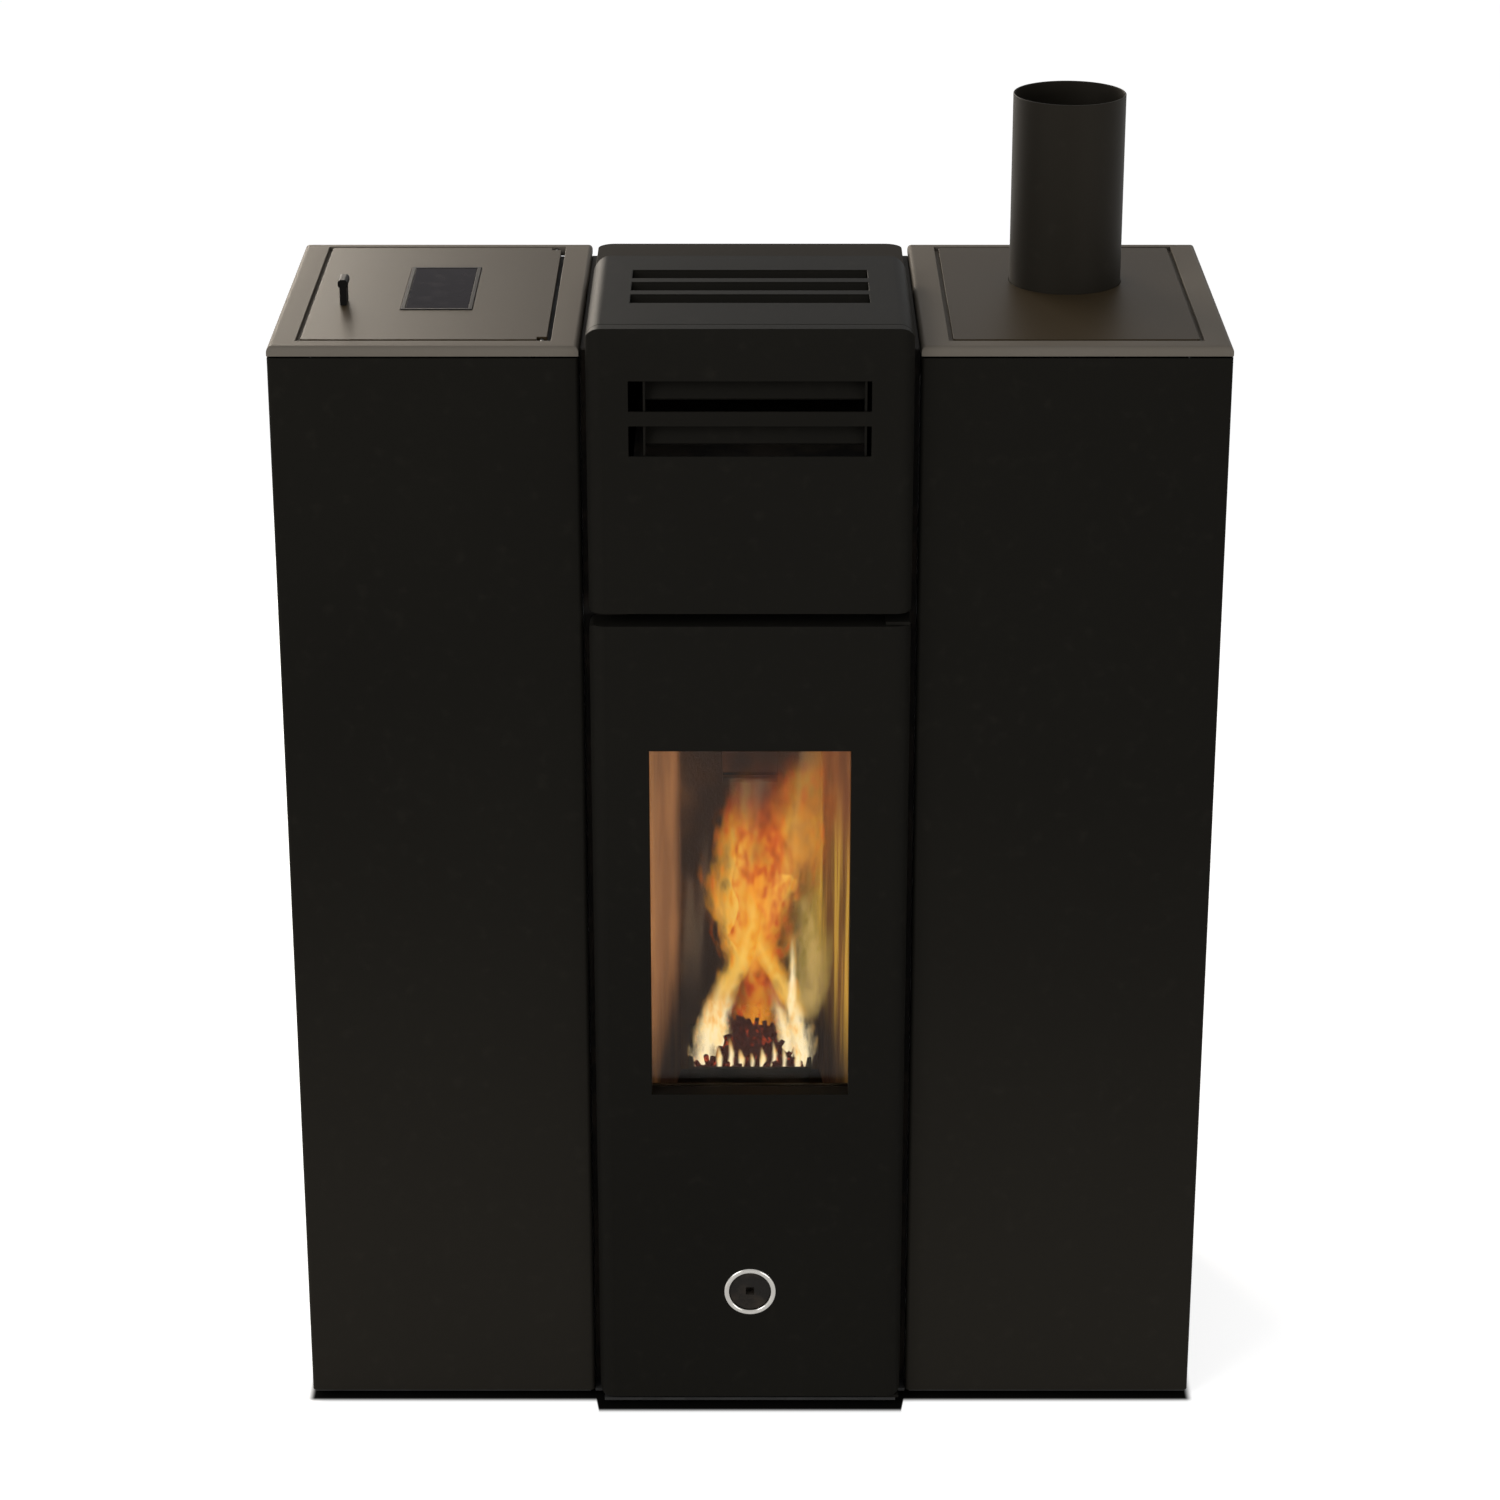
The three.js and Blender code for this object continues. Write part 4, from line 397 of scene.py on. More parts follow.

# %% [markdown]
# ## Zinc, bare steel and cast iron
# Inside, the casing is galvanised sheet, whose zinc froze in crystals the size of a fingernail. Its
# edges at the top and at the floor are coloured black as painted shade, where they show in the gaps
# between the outer panels.
# The tubes and ducts are bare steel with fine drawing marks, and the fire box, the pot and the
# heat exchanger are cast iron and thick plate, grainy and sooty. Over the fire the iron also has a
# faint glow, painted firelight. Each could be a picture, but a few noises do the same at any
# distance.


# %% Mix the galvanised sheet
zinc = Finish("zinc")
spangle, spangle_edge = zinc.grains(75.0)
smear = zinc.noise(25.0, 4.0)
above_floor = zinc.along("z")
# Near the top and near the floor the zinc turns black and matt: painted shade, for the gaps between
# the outer panels where it shows.
near_top = above_floor.smooth(1.034, 1.04)
near_floor = above_floor.smooth(0.012, 0.0095)
painted = near_top + near_floor
bare_zinc = zinc.mix(spangle, seen(136, 139, 142), seen(176, 179, 181))
zinc.set({
    "Base Color": zinc.mix(painted, bare_zinc, seen(14, 13, 11)),
    "Metallic": 0.85 - painted * 0.85,
    "Roughness": 0.34 + spangle * 0.16 + smear * 0.12 + painted * 0.3,
})
zinc.relief(spangle_edge, 0.00003)


# %% Mix the bare steel
def drawn_steel(name, stretch):
    """Bare steel with drawing marks along the direction in which the noise is squeezed."""
    steel = Finish(name, sockets={"Metallic": 1.0})
    marks = steel.noise(900.0, 3.0, stretch)
    heat = steel.noise(9.0, 3.0)
    steel.set({
        "Base Color": steel.mix(heat, seen(140, 139, 137), seen(172, 170, 165)),
        "Roughness": 0.3 + marks * 0.2,
    })
    steel.relief(marks, 0.00002)
    return steel


steel_upright = drawn_steel("steel_upright", (1.0, 1.0, 0.04))
steel_across = drawn_steel("steel_across", (0.04, 1.0, 1.0))

# %% Mix the cast iron
cast_iron = Finish("cast_iron", 0.12, {"Metallic": 0.12})
sand = cast_iron.noise(650.0, 4.0)
scale_patch = cast_iron.noise(30.0, 4.0).smooth(0.42, 0.66)
cast_iron.set({
    "Base Color": cast_iron.mix(scale_patch, seen(32, 30, 28), seen(52, 46, 40)),
    "Roughness": 0.62 + sand * 0.25,
})
cast_iron.relief(sand, 0.00035)

# %% Mix the iron over the fire, with painted firelight
hot_iron = Finish("hot_iron", 0.02, {"Emission Strength": 1.0})
soot_and_glow_patch = hot_iron.noise(24.0, 4.0).smooth(0.4, 0.66)
hot_iron.set({
    "Base Color": hot_iron.mix(soot_and_glow_patch, seen(24, 19, 16), seen(46, 36, 29)),
    "Roughness": 0.8 + soot_and_glow_patch * 0.15,
    # The emission colour is painted firelight: the iron over the fire is no lamp.
    "Emission Color": hot_iron.mix(soot_and_glow_patch, seen(36, 20, 13), seen(62, 38, 24)),
})
hot_iron.relief(soot_and_glow_patch, 0.0003)

# %% [markdown]
# ## The fire-chamber boards
# Pale boards of pressed vermiculite line the fire chamber. Fresh ones are golden, but soot darkens
# them, and in the photograph the fire lights them: ochre on the right, tan in the left corner and
# brown with grey streaks at the back. Lamps hidden in the chamber would be lost when the model is
# used elsewhere, so the boards get a weak glow of their own, set by where each point lies.

# %% Mix the vermiculite boards
board = Finish("vermiculite", 0.1, {"Emission Strength": 1.0})
across = board.along("x")
high = board.along("z")
flakes, flake_edge = board.grains(420.0, (1.0, 1.0, 0.55))
streak = board.noise(34.0, 4.0, (1.0, 1.0, 0.09))
soot = board.noise(11.0, 4.0, (1.0, 1.0, 0.6))
right_side = across.smooth(0.045, 0.075)
left_side = across.smooth(-0.066, -0.076)
fresh = board.mix(flakes, seen(104, 76, 42), seen(134, 102, 60))
sooty = board.mix(soot.smooth(0.3, 0.62), fresh, seen(30, 22, 17))
board.set({
    "Base Color": board.mix(streak.smooth(0.52, 0.7) * 0.6, sooty, seen(62, 54, 45)),
    "Roughness": 0.8 + flakes * 0.15,
})
glow_back = board.mix(streak.smooth(0.5, 0.64), seen(34, 20, 12), seen(86, 72, 58))
tan = board.mix(soot, seen(148, 104, 70), seen(118, 78, 50))
glow_left = board.mix(left_side, glow_back, tan)
glow_right = board.mix(streak.smooth(0.4, 0.58), seen(98, 62, 24), seen(182, 144, 54))
glow_right = board.mix(high.smooth(0.5, 0.62), glow_right, seen(116, 68, 36))
glow = board.mix(right_side, glow_left, glow_right)
low_part = high.smooth(0.30, 0.44) * (1.0 - high.smooth(0.56, 0.72) * 0.45)
board.set({"Emission Color": board.mix(low_part, seen(26, 16, 11), glow)})
board.relief(flakes * 0.6 + flake_edge * 0.4, 0.0004)

# %% [markdown]
# ## Glass, screen, plastics and small metal
# The door glass is a clear ceramic, faintly brown. The display is a switched-off panel, so it is
# smooth and almost black. The tab, the frame of the display and the inlet are grained black
# plastic, and the latch ring is polished.

# %% Mix the ceramic glass
door_glass = Finish("ceramic_glass", 0.3, {"IOR": 1.18, "Transmission Weight": 1.0})
haze = door_glass.noise(14.0, 4.0, (1.0, 1.0, 0.5))
door_glass.set({
    "Base Color": door_glass.mix(haze, seen(246, 238, 226), seen(252, 246, 236)),
    "Roughness": haze.smooth(0.5, 0.9) * 0.05,
})

# %% Mix the dark screen
screen = Finish("dark_screen", 0.005)
smudge = screen.noise(60.0, 5.0)
screen.set({
    "Base Color": screen.mix(smudge, seen(24, 20, 24), seen(32, 27, 32)),
    "Roughness": 0.1 + smudge.smooth(0.45, 0.75) * 0.12,
})


# %% Mix the plastics
def grained_plastic(name, dark, light, roughness, gloss):
    """Moulded plastic: a leather-like grain of about half a millimetre."""
    plastic = Finish(name, gloss)
    grain_tone, grain_edge = plastic.grains(1700.0)
    rub = plastic.noise(40.0, 3.0)
    plastic.set({
        "Base Color": plastic.mix(rub, dark, light),
        "Roughness": roughness + grain_tone * 0.1,
    })
    plastic.relief(grain_edge, 0.00005)
    return plastic


black_plastic = grained_plastic("black_plastic", seen(16, 15, 14), seen(24, 23, 22), 0.42, 0.03)
red_plastic = grained_plastic("red_plastic", seen(128, 22, 18), seen(150, 32, 24), 0.35, 0.3)
motor_paint = grained_plastic("motor_paint", seen(92, 95, 98), seen(110, 113, 116), 0.45, 0.3)

# %% Mix the chrome and the rope
chrome = Finish("chrome", sockets={"Metallic": 1.0})
wipe = chrome.noise(260.0, 3.0, (1.0, 1.0, 0.2))
chrome.set({
    "Base Color": chrome.mix(wipe, seen(168, 165, 160), seen(188, 185, 179)),
    "Roughness": 0.1 + wipe * 0.1,
})
chrome.relief(wipe, 0.000006)

rope = Finish("rope_seal", 0.15)
fibre = rope.noise(1400.0, 4.0, (1.0, 1.0, 0.35))
rope.set({
    "Base Color": rope.mix(fibre, seen(46, 45, 43), seen(98, 95, 90)),
    "Roughness": 0.85 + fibre * 0.1,
})
rope.relief(fibre, 0.0003)

# %% Mix the circuit board
circuit = Finish("circuit_board")
traces = circuit.grains(210.0, (1.0, 1.0, 3.0))[0]
copper = traces.smooth(0.62, 0.66)
circuit.set({
    "Base Color": circuit.mix(copper, seen(22, 74, 42), seen(52, 104, 60)),
    "Roughness": 0.35 + traces * 0.2,
})
circuit.relief(copper, 0.00008)

# %% [markdown]
# ## Rounded edges for the solid pieces
# A real sheet or casting has no knife-sharp edge: a thin line of light runs along every bend. So
# each solid piece is copied, its loose triangles are merged, flat ones are joined, and a narrow
# bevel is put on every edge that turns sharply. Bevels in the solid model itself would make it
# heavy, and no collision needs them.


# %% A finished piece in the scene
def finished(name, mesh, finish, body, slot, *replaced):
    """Puts a mesh in the scene as a piece that rides on a body and stands for solid pieces."""
    mesh.materials.clear()
    mesh.materials.append(finish.material)
    mesh.polygons.foreach_set("material_index", [0] * len(mesh.polygons))
    piece = in_scene(name, mesh)
    if replaced:
        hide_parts(*replaced)
    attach(piece, body)


# %% Shade a mesh smooth
def smooth_up_to(shape, sharp):
    """Smooth shading for a mesh under work, broken at edges that turn by the sharp angle."""
    for face in shape.faces:
        face.smooth = True
    for edge in shape.edges:
        edge.smooth = edge.calc_face_angle(0.0) < sharp


# %% Merge and join the loose faces of a solid piece
sharp_turn = math.radians(32.0)
flat_turn = math.radians(0.4)
merge_distance = 2e-6


def cleaned(node, rounded):
    """A mesh of a solid piece, smooth throughout if it gets rounded and else up to its edges."""
    mesh = frame["nodes"][node].data.copy()
    shape = bmesh.new()
    shape.from_mesh(mesh)
    bmesh.ops.remove_doubles(shape, verts=shape.verts, dist=merge_distance)
    bmesh.ops.dissolve_limit(shape, angle_limit=flat_turn, verts=shape.verts, edges=shape.edges)
    smooth_up_to(shape, math.inf if rounded else sharp_turn)
    shape.to_mesh(mesh)
    shape.free()
    return mesh


# %% Turn modifiers into a plain mesh
def frozen(holder):
    """The mesh of an object after its modifiers. The object itself is removed."""
    graph = bpy.context.evaluated_depsgraph_get()
    mesh = bpy.data.meshes.new_from_object(holder.evaluated_get(graph))
    bpy.data.objects.remove(holder)
    return mesh


# %% Round the edges of solid pieces
def dress(finish, rounding, *nodes, steps=2):
    """Copies of solid pieces in one finish, with edges rounded by so many millimetres."""
    for node in nodes:
        mesh = cleaned(node, rounding > 0.0)
        if rounding > 0.0:
            holder = in_scene("rounding", mesh)
            bevel = holder.modifiers.new("bevel", "BEVEL")
            bevel.width = rounding / 1000.0
            bevel.segments = steps
            bevel.limit_method = "ANGLE"
            bevel.angle_limit = sharp_turn
            bevel.use_clamp_overlap = False
            holder.modifiers.new("even_normals", "WEIGHTED_NORMAL").keep_sharp = True
            mesh = frozen(holder)
        slot = slot_of_node[node]
        finished(node + "_dressed", mesh, finish, body_of_node[node], slot, node)
    print("dressed", ", ".join(nodes))


# %% [markdown]
# ## The casing
# Two plain boxes of folded sheet stand left and right of the column. Their fronts, sides and rims
# are what the photograph shows most of, so their edges matter: the long upright edges of the fronts
# are bends of 4 mm, which the solid model already has, and only the cut edges are rounded here.

# %% Dress the panels and the tops
dress(side_powder, 0.5, "left_front_panel", "right_front_panel")
dress(black_powder, 0.3, "left_side_panel", "right_side_panel", "rear_panel")
dress(top_paint, 0.5, "hopper_lid", "flue_cover_plate")
dress(rim_paint, 0.5, "left_top_rim", "right_top_rim")
dress(deck_paint, 0.4, "column_deck")

# %% Dress the column and the door
dress(black_powder, 0.6, "door_shell", "upper_front_panel", steps=3)
dress(black_powder, 0.8, "column_hood", steps=3)
dress(black_powder, 0.3, "louvre_insert")
dress(door_glass, 0.5, "door_glass")
dress(cast_iron, 0.5, "door_inner_plate")

# %% Dress the lid's tab, the display and the small plastic pieces
dress(black_plastic, 0.6, "lid_tab", steps=3)
dress(black_plastic, 0.3, "display_bezel")
dress(screen, 0.3, "display_screen")
dress(black_plastic, 0.5, "mains_inlet", "foot_front_left", "foot_front_right")
dress(black_plastic, 0.5, "foot_back_left", "foot_back_right")
dress(red_plastic, 0.4, "mains_switch", "reset_button")

# %% Dress the works inside
dress(zinc, 0.3, "base_pan", "left_inner_panel", "right_inner_panel", "hopper", "ash_drawer")
dress(zinc, 0.2, "room_fan_housing", "room_fan_rotor")
dress(cast_iron, 0.6, "fire_body", "burn_pot", "smoke_fan_housing")
dress(hot_iron, 0.6, "baffle_plate")
dress(hot_iron, 0.3, "pellet_chute")
dress(board, 0.8, "liner_back", "liner_left", "liner_right")
dress(cast_iron, 0.3, "heat_exchanger", "latch_spindle")
dress(steel_upright, 0.3, "flue_duct")
dress(black_powder, 0.3, "door_hinge_lower", "door_hinge_upper")
dress(steel_upright, 0.0, "lid_hinge_rod", "smoke_duct", "smoke_fan_impeller", "igniter")
dress(steel_across, 0.0, "auger_tube", "auger_screw")
dress(motor_paint, 0.8, "auger_gearmotor", "smoke_fan_motor", "room_fan_motor")
dress(circuit, 0.0, "control_board")

# %% [markdown]
# ## Turned pieces
# The flue pipe, the air pipe and the latch are round. Their solids are faceted, which is enough
# for a collision, but a round thing shows its facets in every reflection. They are turned again
# from a profile with many more steps, as on a lathe, at exactly the same place and size.


# %% Join two rings of points
def join_rings(shape, low, high_ring):
    """A band of faces between two rings with the same number of points."""
    for step in range(len(low)):
        after = (step + 1) % len(low)
        shape.faces.new((low[step], low[after], high_ring[after], high_ring[step]))


# %% Turn a profile round the z axis
def turned(profile, steps=96):
    """A closed ring from a profile of (radius, height) points in millimetres."""
    shape = bmesh.new()
    rings = []
    for radius, height in profile:
        ring = []
        for step in range(steps):
            angle = 2.0 * math.pi * step / steps
            place = Vector((math.cos(angle) * radius, math.sin(angle) * radius, height)) / 1000.0
            ring.append(shape.verts.new(place))
        rings.append(ring)
    for low, high_ring in zip(rings, rings[1:] + rings[:1]):
        join_rings(shape, low, high_ring)
    bmesh.ops.remove_doubles(shape, verts=shape.verts, dist=1e-6)
    bmesh.ops.recalc_face_normals(shape, faces=shape.faces)
    smooth_up_to(shape, math.radians(40.0))
    mesh = bpy.data.meshes.new("turned")
    shape.to_mesh(mesh)
    shape.free()
    return mesh


# %% The profile of a pipe's wall
def pipe_wall(radius, start, end, wall, rounding):
    """The profile of a pipe with an eased end, in millimetres."""
    return [
        (radius, start),
        (radius, end - rounding),
        (radius - rounding, end),
        (radius - wall + rounding, end),
        (radius - wall, end - rounding),
        (radius - wall, start),
    ]


# %% Lay a turned piece on its side
def lay_back(mesh, centre):
    """Turns the mesh's axis from z to y and moves it to a centre in x and z."""
    mesh.transform(Matrix.Rotation(math.radians(-90.0), 4, "X"))
    mesh.transform(Matrix.Translation((centre.x, 0.0, centre.z)))


# %% Turn the flue pipe and the air pipe
pipe_low, pipe_high = (corner * 1000.0 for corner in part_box("flue_pipe"))
pipe_centre = (pipe_low + pipe_high) / 2000.0
pipe_radius = (pipe_high.x - pipe_low.x) / 2.0
pipe_mesh = turned(pipe_wall(pipe_radius, pipe_low.z, pipe_high.z, 1.5, 0.4))
pipe_mesh.transform(Matrix.Translation((pipe_centre.x, pipe_centre.y, 0.0)))
finished("flue_pipe_turned", pipe_mesh, pipe_paint, "stove", "black_pipe", "flue_pipe")

air_low, air_high = (corner * 1000.0 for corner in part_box("air_pipe"))
air_radius = (air_high.x - air_low.x) / 2.0
air_mesh = turned(pipe_wall(air_radius, air_low.y, air_high.y, 2.0, 0.5))
lay_back(air_mesh, (air_low + air_high) / 2000.0)
finished("air_pipe_turned", air_mesh, steel_across, "stove", "bare_steel", "air_pipe")
print("pipes of", round(pipe_radius * 2.0, 1), "and", round(air_radius * 2.0, 1), "mm")

# %% Turn the latch ring
ring_low, ring_high = (corner * 1000.0 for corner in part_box("latch_ring"))
ring_outer = (ring_high.x - ring_low.x) / 2.0
ring_band = 5.0
ring_swell = 1.6
ring_profile = [(ring_outer - 0.2, ring_high.y)]
for step in range(13):
    angle = math.pi * step / 12.0
    radius = ring_outer - ring_band / 2.0 + math.cos(angle) * ring_band / 2.0
    ring_profile.append((radius, ring_low.y + ring_swell - math.sin(angle) * ring_swell))
ring_profile.append((ring_outer - ring_band + 0.1, ring_high.y))
ring_mesh = turned(ring_profile)
lay_back(ring_mesh, (ring_low + ring_high) / 2000.0)
finished("latch_ring_turned", ring_mesh, chrome, "door", "chrome", "latch_ring")
print("latch ring", round(ring_outer * 2.0, 1), "mm across")

# %% [markdown]
# ## Recipes for what repeats
# Screws, rope strands and pellets come in numbers. Placing them by hand in a loop works, but then
# every one is typed geometry. A Geometry Nodes tree is a recipe instead: it takes a plain mesh and
# a few named amounts, and gives the whole lot. Its result is made real and turned into a plain
# mesh at once, because an exported model cannot hold a recipe.


# %% A Geometry Nodes tree with named inputs
class Recipe(Tree):
    """A recipe that turns a mesh into many pieces of one material."""

    def __init__(self, name, inputs):
        super().__init__(bpy.data.node_groups.new(name, "GeometryNodeTree"))
        for label, kind in {"Geometry": "Geometry", **inputs, "Material": "Material"}.items():
            self.add(label, "INPUT", kind)
        self.add("Geometry", "OUTPUT", "Geometry")
        self.given = self.node("NodeGroupInput").outputs

    def add(self, label, side, kind):
        """Adds a socket to the outside of the recipe."""
        self.group.interface.new_socket(label, in_out=side, socket_type="NodeSocket" + kind)

    def serve(self, geometry):
        """Ends the recipe: instances become real and take the material."""
        real = self.node("GeometryNodeRealizeInstances", sockets={0: geometry})
        sockets = {"Geometry": real.outputs[0], "Material": self.given["Material"]}
        painted = self.node("GeometryNodeSetMaterial", sockets=sockets)
        self.node("NodeGroupOutput", sockets={0: painted.outputs[0]})
        print("the recipe", self.group.name, "has", len(self.group.nodes), "nodes")

    def cook(self, mesh, amounts):
        """The plain mesh that the recipe makes from a mesh and its amounts."""
        holder = in_scene("cooking", mesh)
        modifier = holder.modifiers.new("recipe", "NODES")
        modifier.node_group = self.group
        for socket in self.group.interface.items_tree:
            if socket.in_out == "INPUT" and socket.name in amounts:
                modifier[socket.identifier] = amounts[socket.name]
        made = frozen(holder)
        print("the recipe turned", mesh.name, "into", len(made.polygons), "faces")
        return made


# %% A plain mesh of points, in millimetres
def points_mesh(name, points, edges=(), faces=()):
    """A mesh of points given in millimetres, for a recipe to start from."""
    mesh = bpy.data.meshes.new(name)
    mesh.from_pydata([Vector(point) / 1000.0 for point in points], list(edges), list(faces))
    return mesh


# %% The faces of a grid
def grid_faces(rows, columns):
    """The faces between points that are listed row by row."""
    wide = columns + 1
    corners = [row * wide + column for row in range(rows) for column in range(columns)]
    return [(first, first + 1, first + wide + 1, first + wide) for first in corners]


# %% [markdown]
# ## The rope seal of the door
# A braided glass-fibre rope is pressed between the door and the fire box. The solid model has a
# plain rectangular ring there. A bump map could hint at the braid, but the seal is seen from close
# by when the door is open, so real strands are twisted round the ring's centre line.

# %% Write the rope recipe
rope_recipe = Recipe("rope", {
    "Strands": "Int", "Turns": "Float", "Points": "Int",
    "Twist Radius": "Float", "Strand Radius": "Float",
})
given = rope_recipe.given
path = rope_recipe.node("GeometryNodeMeshToCurve", sockets={0: given["Geometry"]})
fine = rope_recipe.node(
    "GeometryNodeResampleCurve", sockets={"Curve": path.outputs[0], "Count": given["Points"]}
)
strands = rope_recipe.node(
    "GeometryNodeDuplicateElements",
    {"domain": "SPLINE"},
    {"Geometry": fine.outputs[0], "Amount": given["Strands"]},
)
along_path = Value(rope_recipe, rope_recipe.node("GeometryNodeSplineParameter").outputs["Factor"])
start = Value(rope_recipe, strands.outputs["Duplicate Index"])
start = start.maths("DIVIDE", start, given["Strands"])
angle = (along_path * given["Turns"] + start) * (2.0 * math.pi)


# %% Shift each strand off the centre line
def vector_maths(operation, sockets):
    """The vector that a Vector Math node in the rope recipe gives."""
    return rope_recipe.node("ShaderNodeVectorMath", {"operation": operation}, sockets).outputs[0]


side_way = rope_recipe.node("GeometryNodeInputNormal").outputs[0]
ahead = rope_recipe.node("GeometryNodeInputTangent").outputs[0]
third = vector_maths("CROSS_PRODUCT", {0: ahead, 1: side_way})
reach = given["Twist Radius"]
first_part = vector_maths("SCALE", {0: side_way, "Scale": angle.maths("COSINE", angle) * reach})
second_part = vector_maths("SCALE", {0: third, "Scale": angle.maths("SINE", angle) * reach})
shift = vector_maths("ADD", {0: first_part, 1: second_part})
twisted = rope_recipe.node(
    "GeometryNodeSetPosition", sockets={"Geometry": strands.outputs[0], "Offset": shift}
)
round_strand = rope_recipe.node(
    "GeometryNodeCurvePrimitiveCircle",
    sockets={"Resolution": 8, "Radius": given["Strand Radius"]},
)
rope_mesh = rope_recipe.node(
    "GeometryNodeCurveToMesh",
    sockets={"Curve": twisted.outputs[0], "Profile Curve": round_strand.outputs[0]},
)
rope_smooth = rope_recipe.node("GeometryNodeSetShadeSmooth", sockets={0: rope_mesh.outputs[0]})
rope_recipe.serve(rope_smooth.outputs[0])

# %% Twist the rope seal
seal_low, seal_high = (corner * 1000.0 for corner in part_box("door_seal"))
seal_middle = (seal_low + seal_high) / 2.0
seal_half = 5.0
seal_bend = 12.0
seal_fill = 1.28
reach_x = seal_high.x - seal_half - seal_bend
reach_z = seal_high.z - seal_middle.z - seal_half - seal_bend
loop = []
for corner_x, corner_z, first_angle in ((1, 1, 0), (-1, 1, 90), (-1, -1, 180), (1, -1, 270)):
    for step in range(7):
        turn = math.radians(first_angle + step * 15)
        loop.append((
            corner_x * reach_x + math.cos(turn) * seal_bend,
            seal_middle.y,
            seal_middle.z + corner_z * reach_z + math.sin(turn) * seal_bend,
        ))
loop_edges = [(index, (index + 1) % len(loop)) for index in range(len(loop))]
seal_mesh = rope_recipe.cook(points_mesh("seal_path", loop, loop_edges), {
    "Strands": 4,
    "Turns": 46.0,
    "Points": 900,
    "Twist Radius": 0.0027,
    "Strand Radius": 0.0022,
    "Material": rope.material,
})
seal_place = Matrix.Translation((0.0, seal_middle.y / 1000.0, 0.0))
seal_thicker = Matrix.Diagonal((1.0, seal_fill, 1.0, 1.0))
seal_mesh.transform(seal_place @ seal_thicker @ seal_place.inverted())
finished("door_seal_rope", seal_mesh, rope, "door", "rope_seal", "door_seal")

# %% [markdown]
# ## Screws
# Star-head screws hold the rear panel to the casing and the inner plate to the door. One head is
# modelled, and a recipe puts it on every point of a list, each with its own turn, because screws
# never stop at the same angle.


# %% Model one screw head
def screw_head():
    """A screw head of 7 mm, standing on z = 0, with a star-shaped hole for the key."""
    star = [1.75, 1.2] * 6
    rings = [[spot] * 12 for spot in ((3.5, 0.0), (3.5, 0.5), (3.0, 1.3), (2.2, 1.7))]
    rings += [[(radius, height) for radius in star] for height in (1.7, 0.7)]
    shape = bmesh.new()
    made = []
    for ring in rings:
        verts = []
        for step, (radius, height) in enumerate(ring):
            turn = 2.0 * math.pi * step / 12.0
            place = Vector((math.cos(turn) * radius, math.sin(turn) * radius, height))
            verts.append(shape.verts.new(place / 1000.0))
        made.append(verts)
    for low, high_ring in zip(made, made[1:]):
        join_rings(shape, low, high_ring)
    shape.faces.new(made[-1])
    shape.faces.new(list(reversed(made[0])))
    bmesh.ops.recalc_face_normals(shape, faces=shape.faces)
    mesh = bpy.data.meshes.new("screw_head")
    shape.to_mesh(mesh)
    shape.free()
    return mesh


head = bpy.data.objects.new("screw_head", screw_head())
print("a screw head has", len(head.data.polygons), "faces")

# %% Write the screw recipe
screw_recipe = Recipe("screws", {"Head": "Object", "Lean": "Vector", "Seed": "Int"})
given = screw_recipe.given
one_head = screw_recipe.node("GeometryNodeObjectInfo", sockets={"Object": given["Head"]})
spin = screw_recipe.node(
    "FunctionNodeRandomValue",
    {"data_type": "FLOAT"},
    {2: 0.0, 3: 2.0 * math.pi, "Seed": given["Seed"]},
)
spun = screw_recipe.node("ShaderNodeCombineXYZ", sockets={"Z": spin.outputs[1]})
heads = screw_recipe.node("GeometryNodeInstanceOnPoints", sockets={
    "Points": given["Geometry"],
    "Instance": one_head.outputs["Geometry"],
    "Rotation": given["Lean"],
})
own_turn = screw_recipe.node(
    "GeometryNodeRotateInstances",
    sockets={"Instances": heads.outputs[0], "Rotation": spun.outputs[0]},
)
screw_recipe.serve(own_turn.outputs[0])


# %% Drive the screws of the rear panel and the door
def drive(name, node, spots, body, seed):
    """Screw heads at (x, z) spots in millimetres on the back face of a solid piece."""
    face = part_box(node)[1].y * 1000.0
    points = points_mesh(name, [(x, face, z) for x, z in spots])
    placed = screw_recipe.cook(points, {
        "Head": head,
        "Lean": (math.radians(-90.0), 0.0, 0.0),
        "Seed": seed,
        "Material": steel_across.material,
    })
    finished(name, placed, steel_across, body, "bare_steel")
    print(len(spots), "screws on", node)


screw_inset = 11.0
rear_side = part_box("rear_panel")[1].x * 1000.0 - screw_inset
rear_spots = [(side * rear_side, 48.0 + row * 121.0) for side in (-1, 1) for row in range(9)]
rear_spots += [(-330.0 + column * 110.0, 1046.0) for column in range(7)]
drive("rear_screws", "rear_panel", rear_spots, "stove", 3)
door_spots = [(side * 124.5, 322.0 + row * 97.0) for side in (-1, 1) for row in range(5)]
drive("door_screws", "door_inner_plate", door_spots, "door", 8)

# %% [markdown]
# ## The heap recipe: embers in the pot and pellets in the hopper
# Wood pellets are short rods of 6 mm. In the pot they lie as a glowing mound, and in the hopper as
# fuel. One recipe serves both: it scatters rods over a mound, each turned at random. Filling the
# whole volume would give thousands of rods that nobody can see.

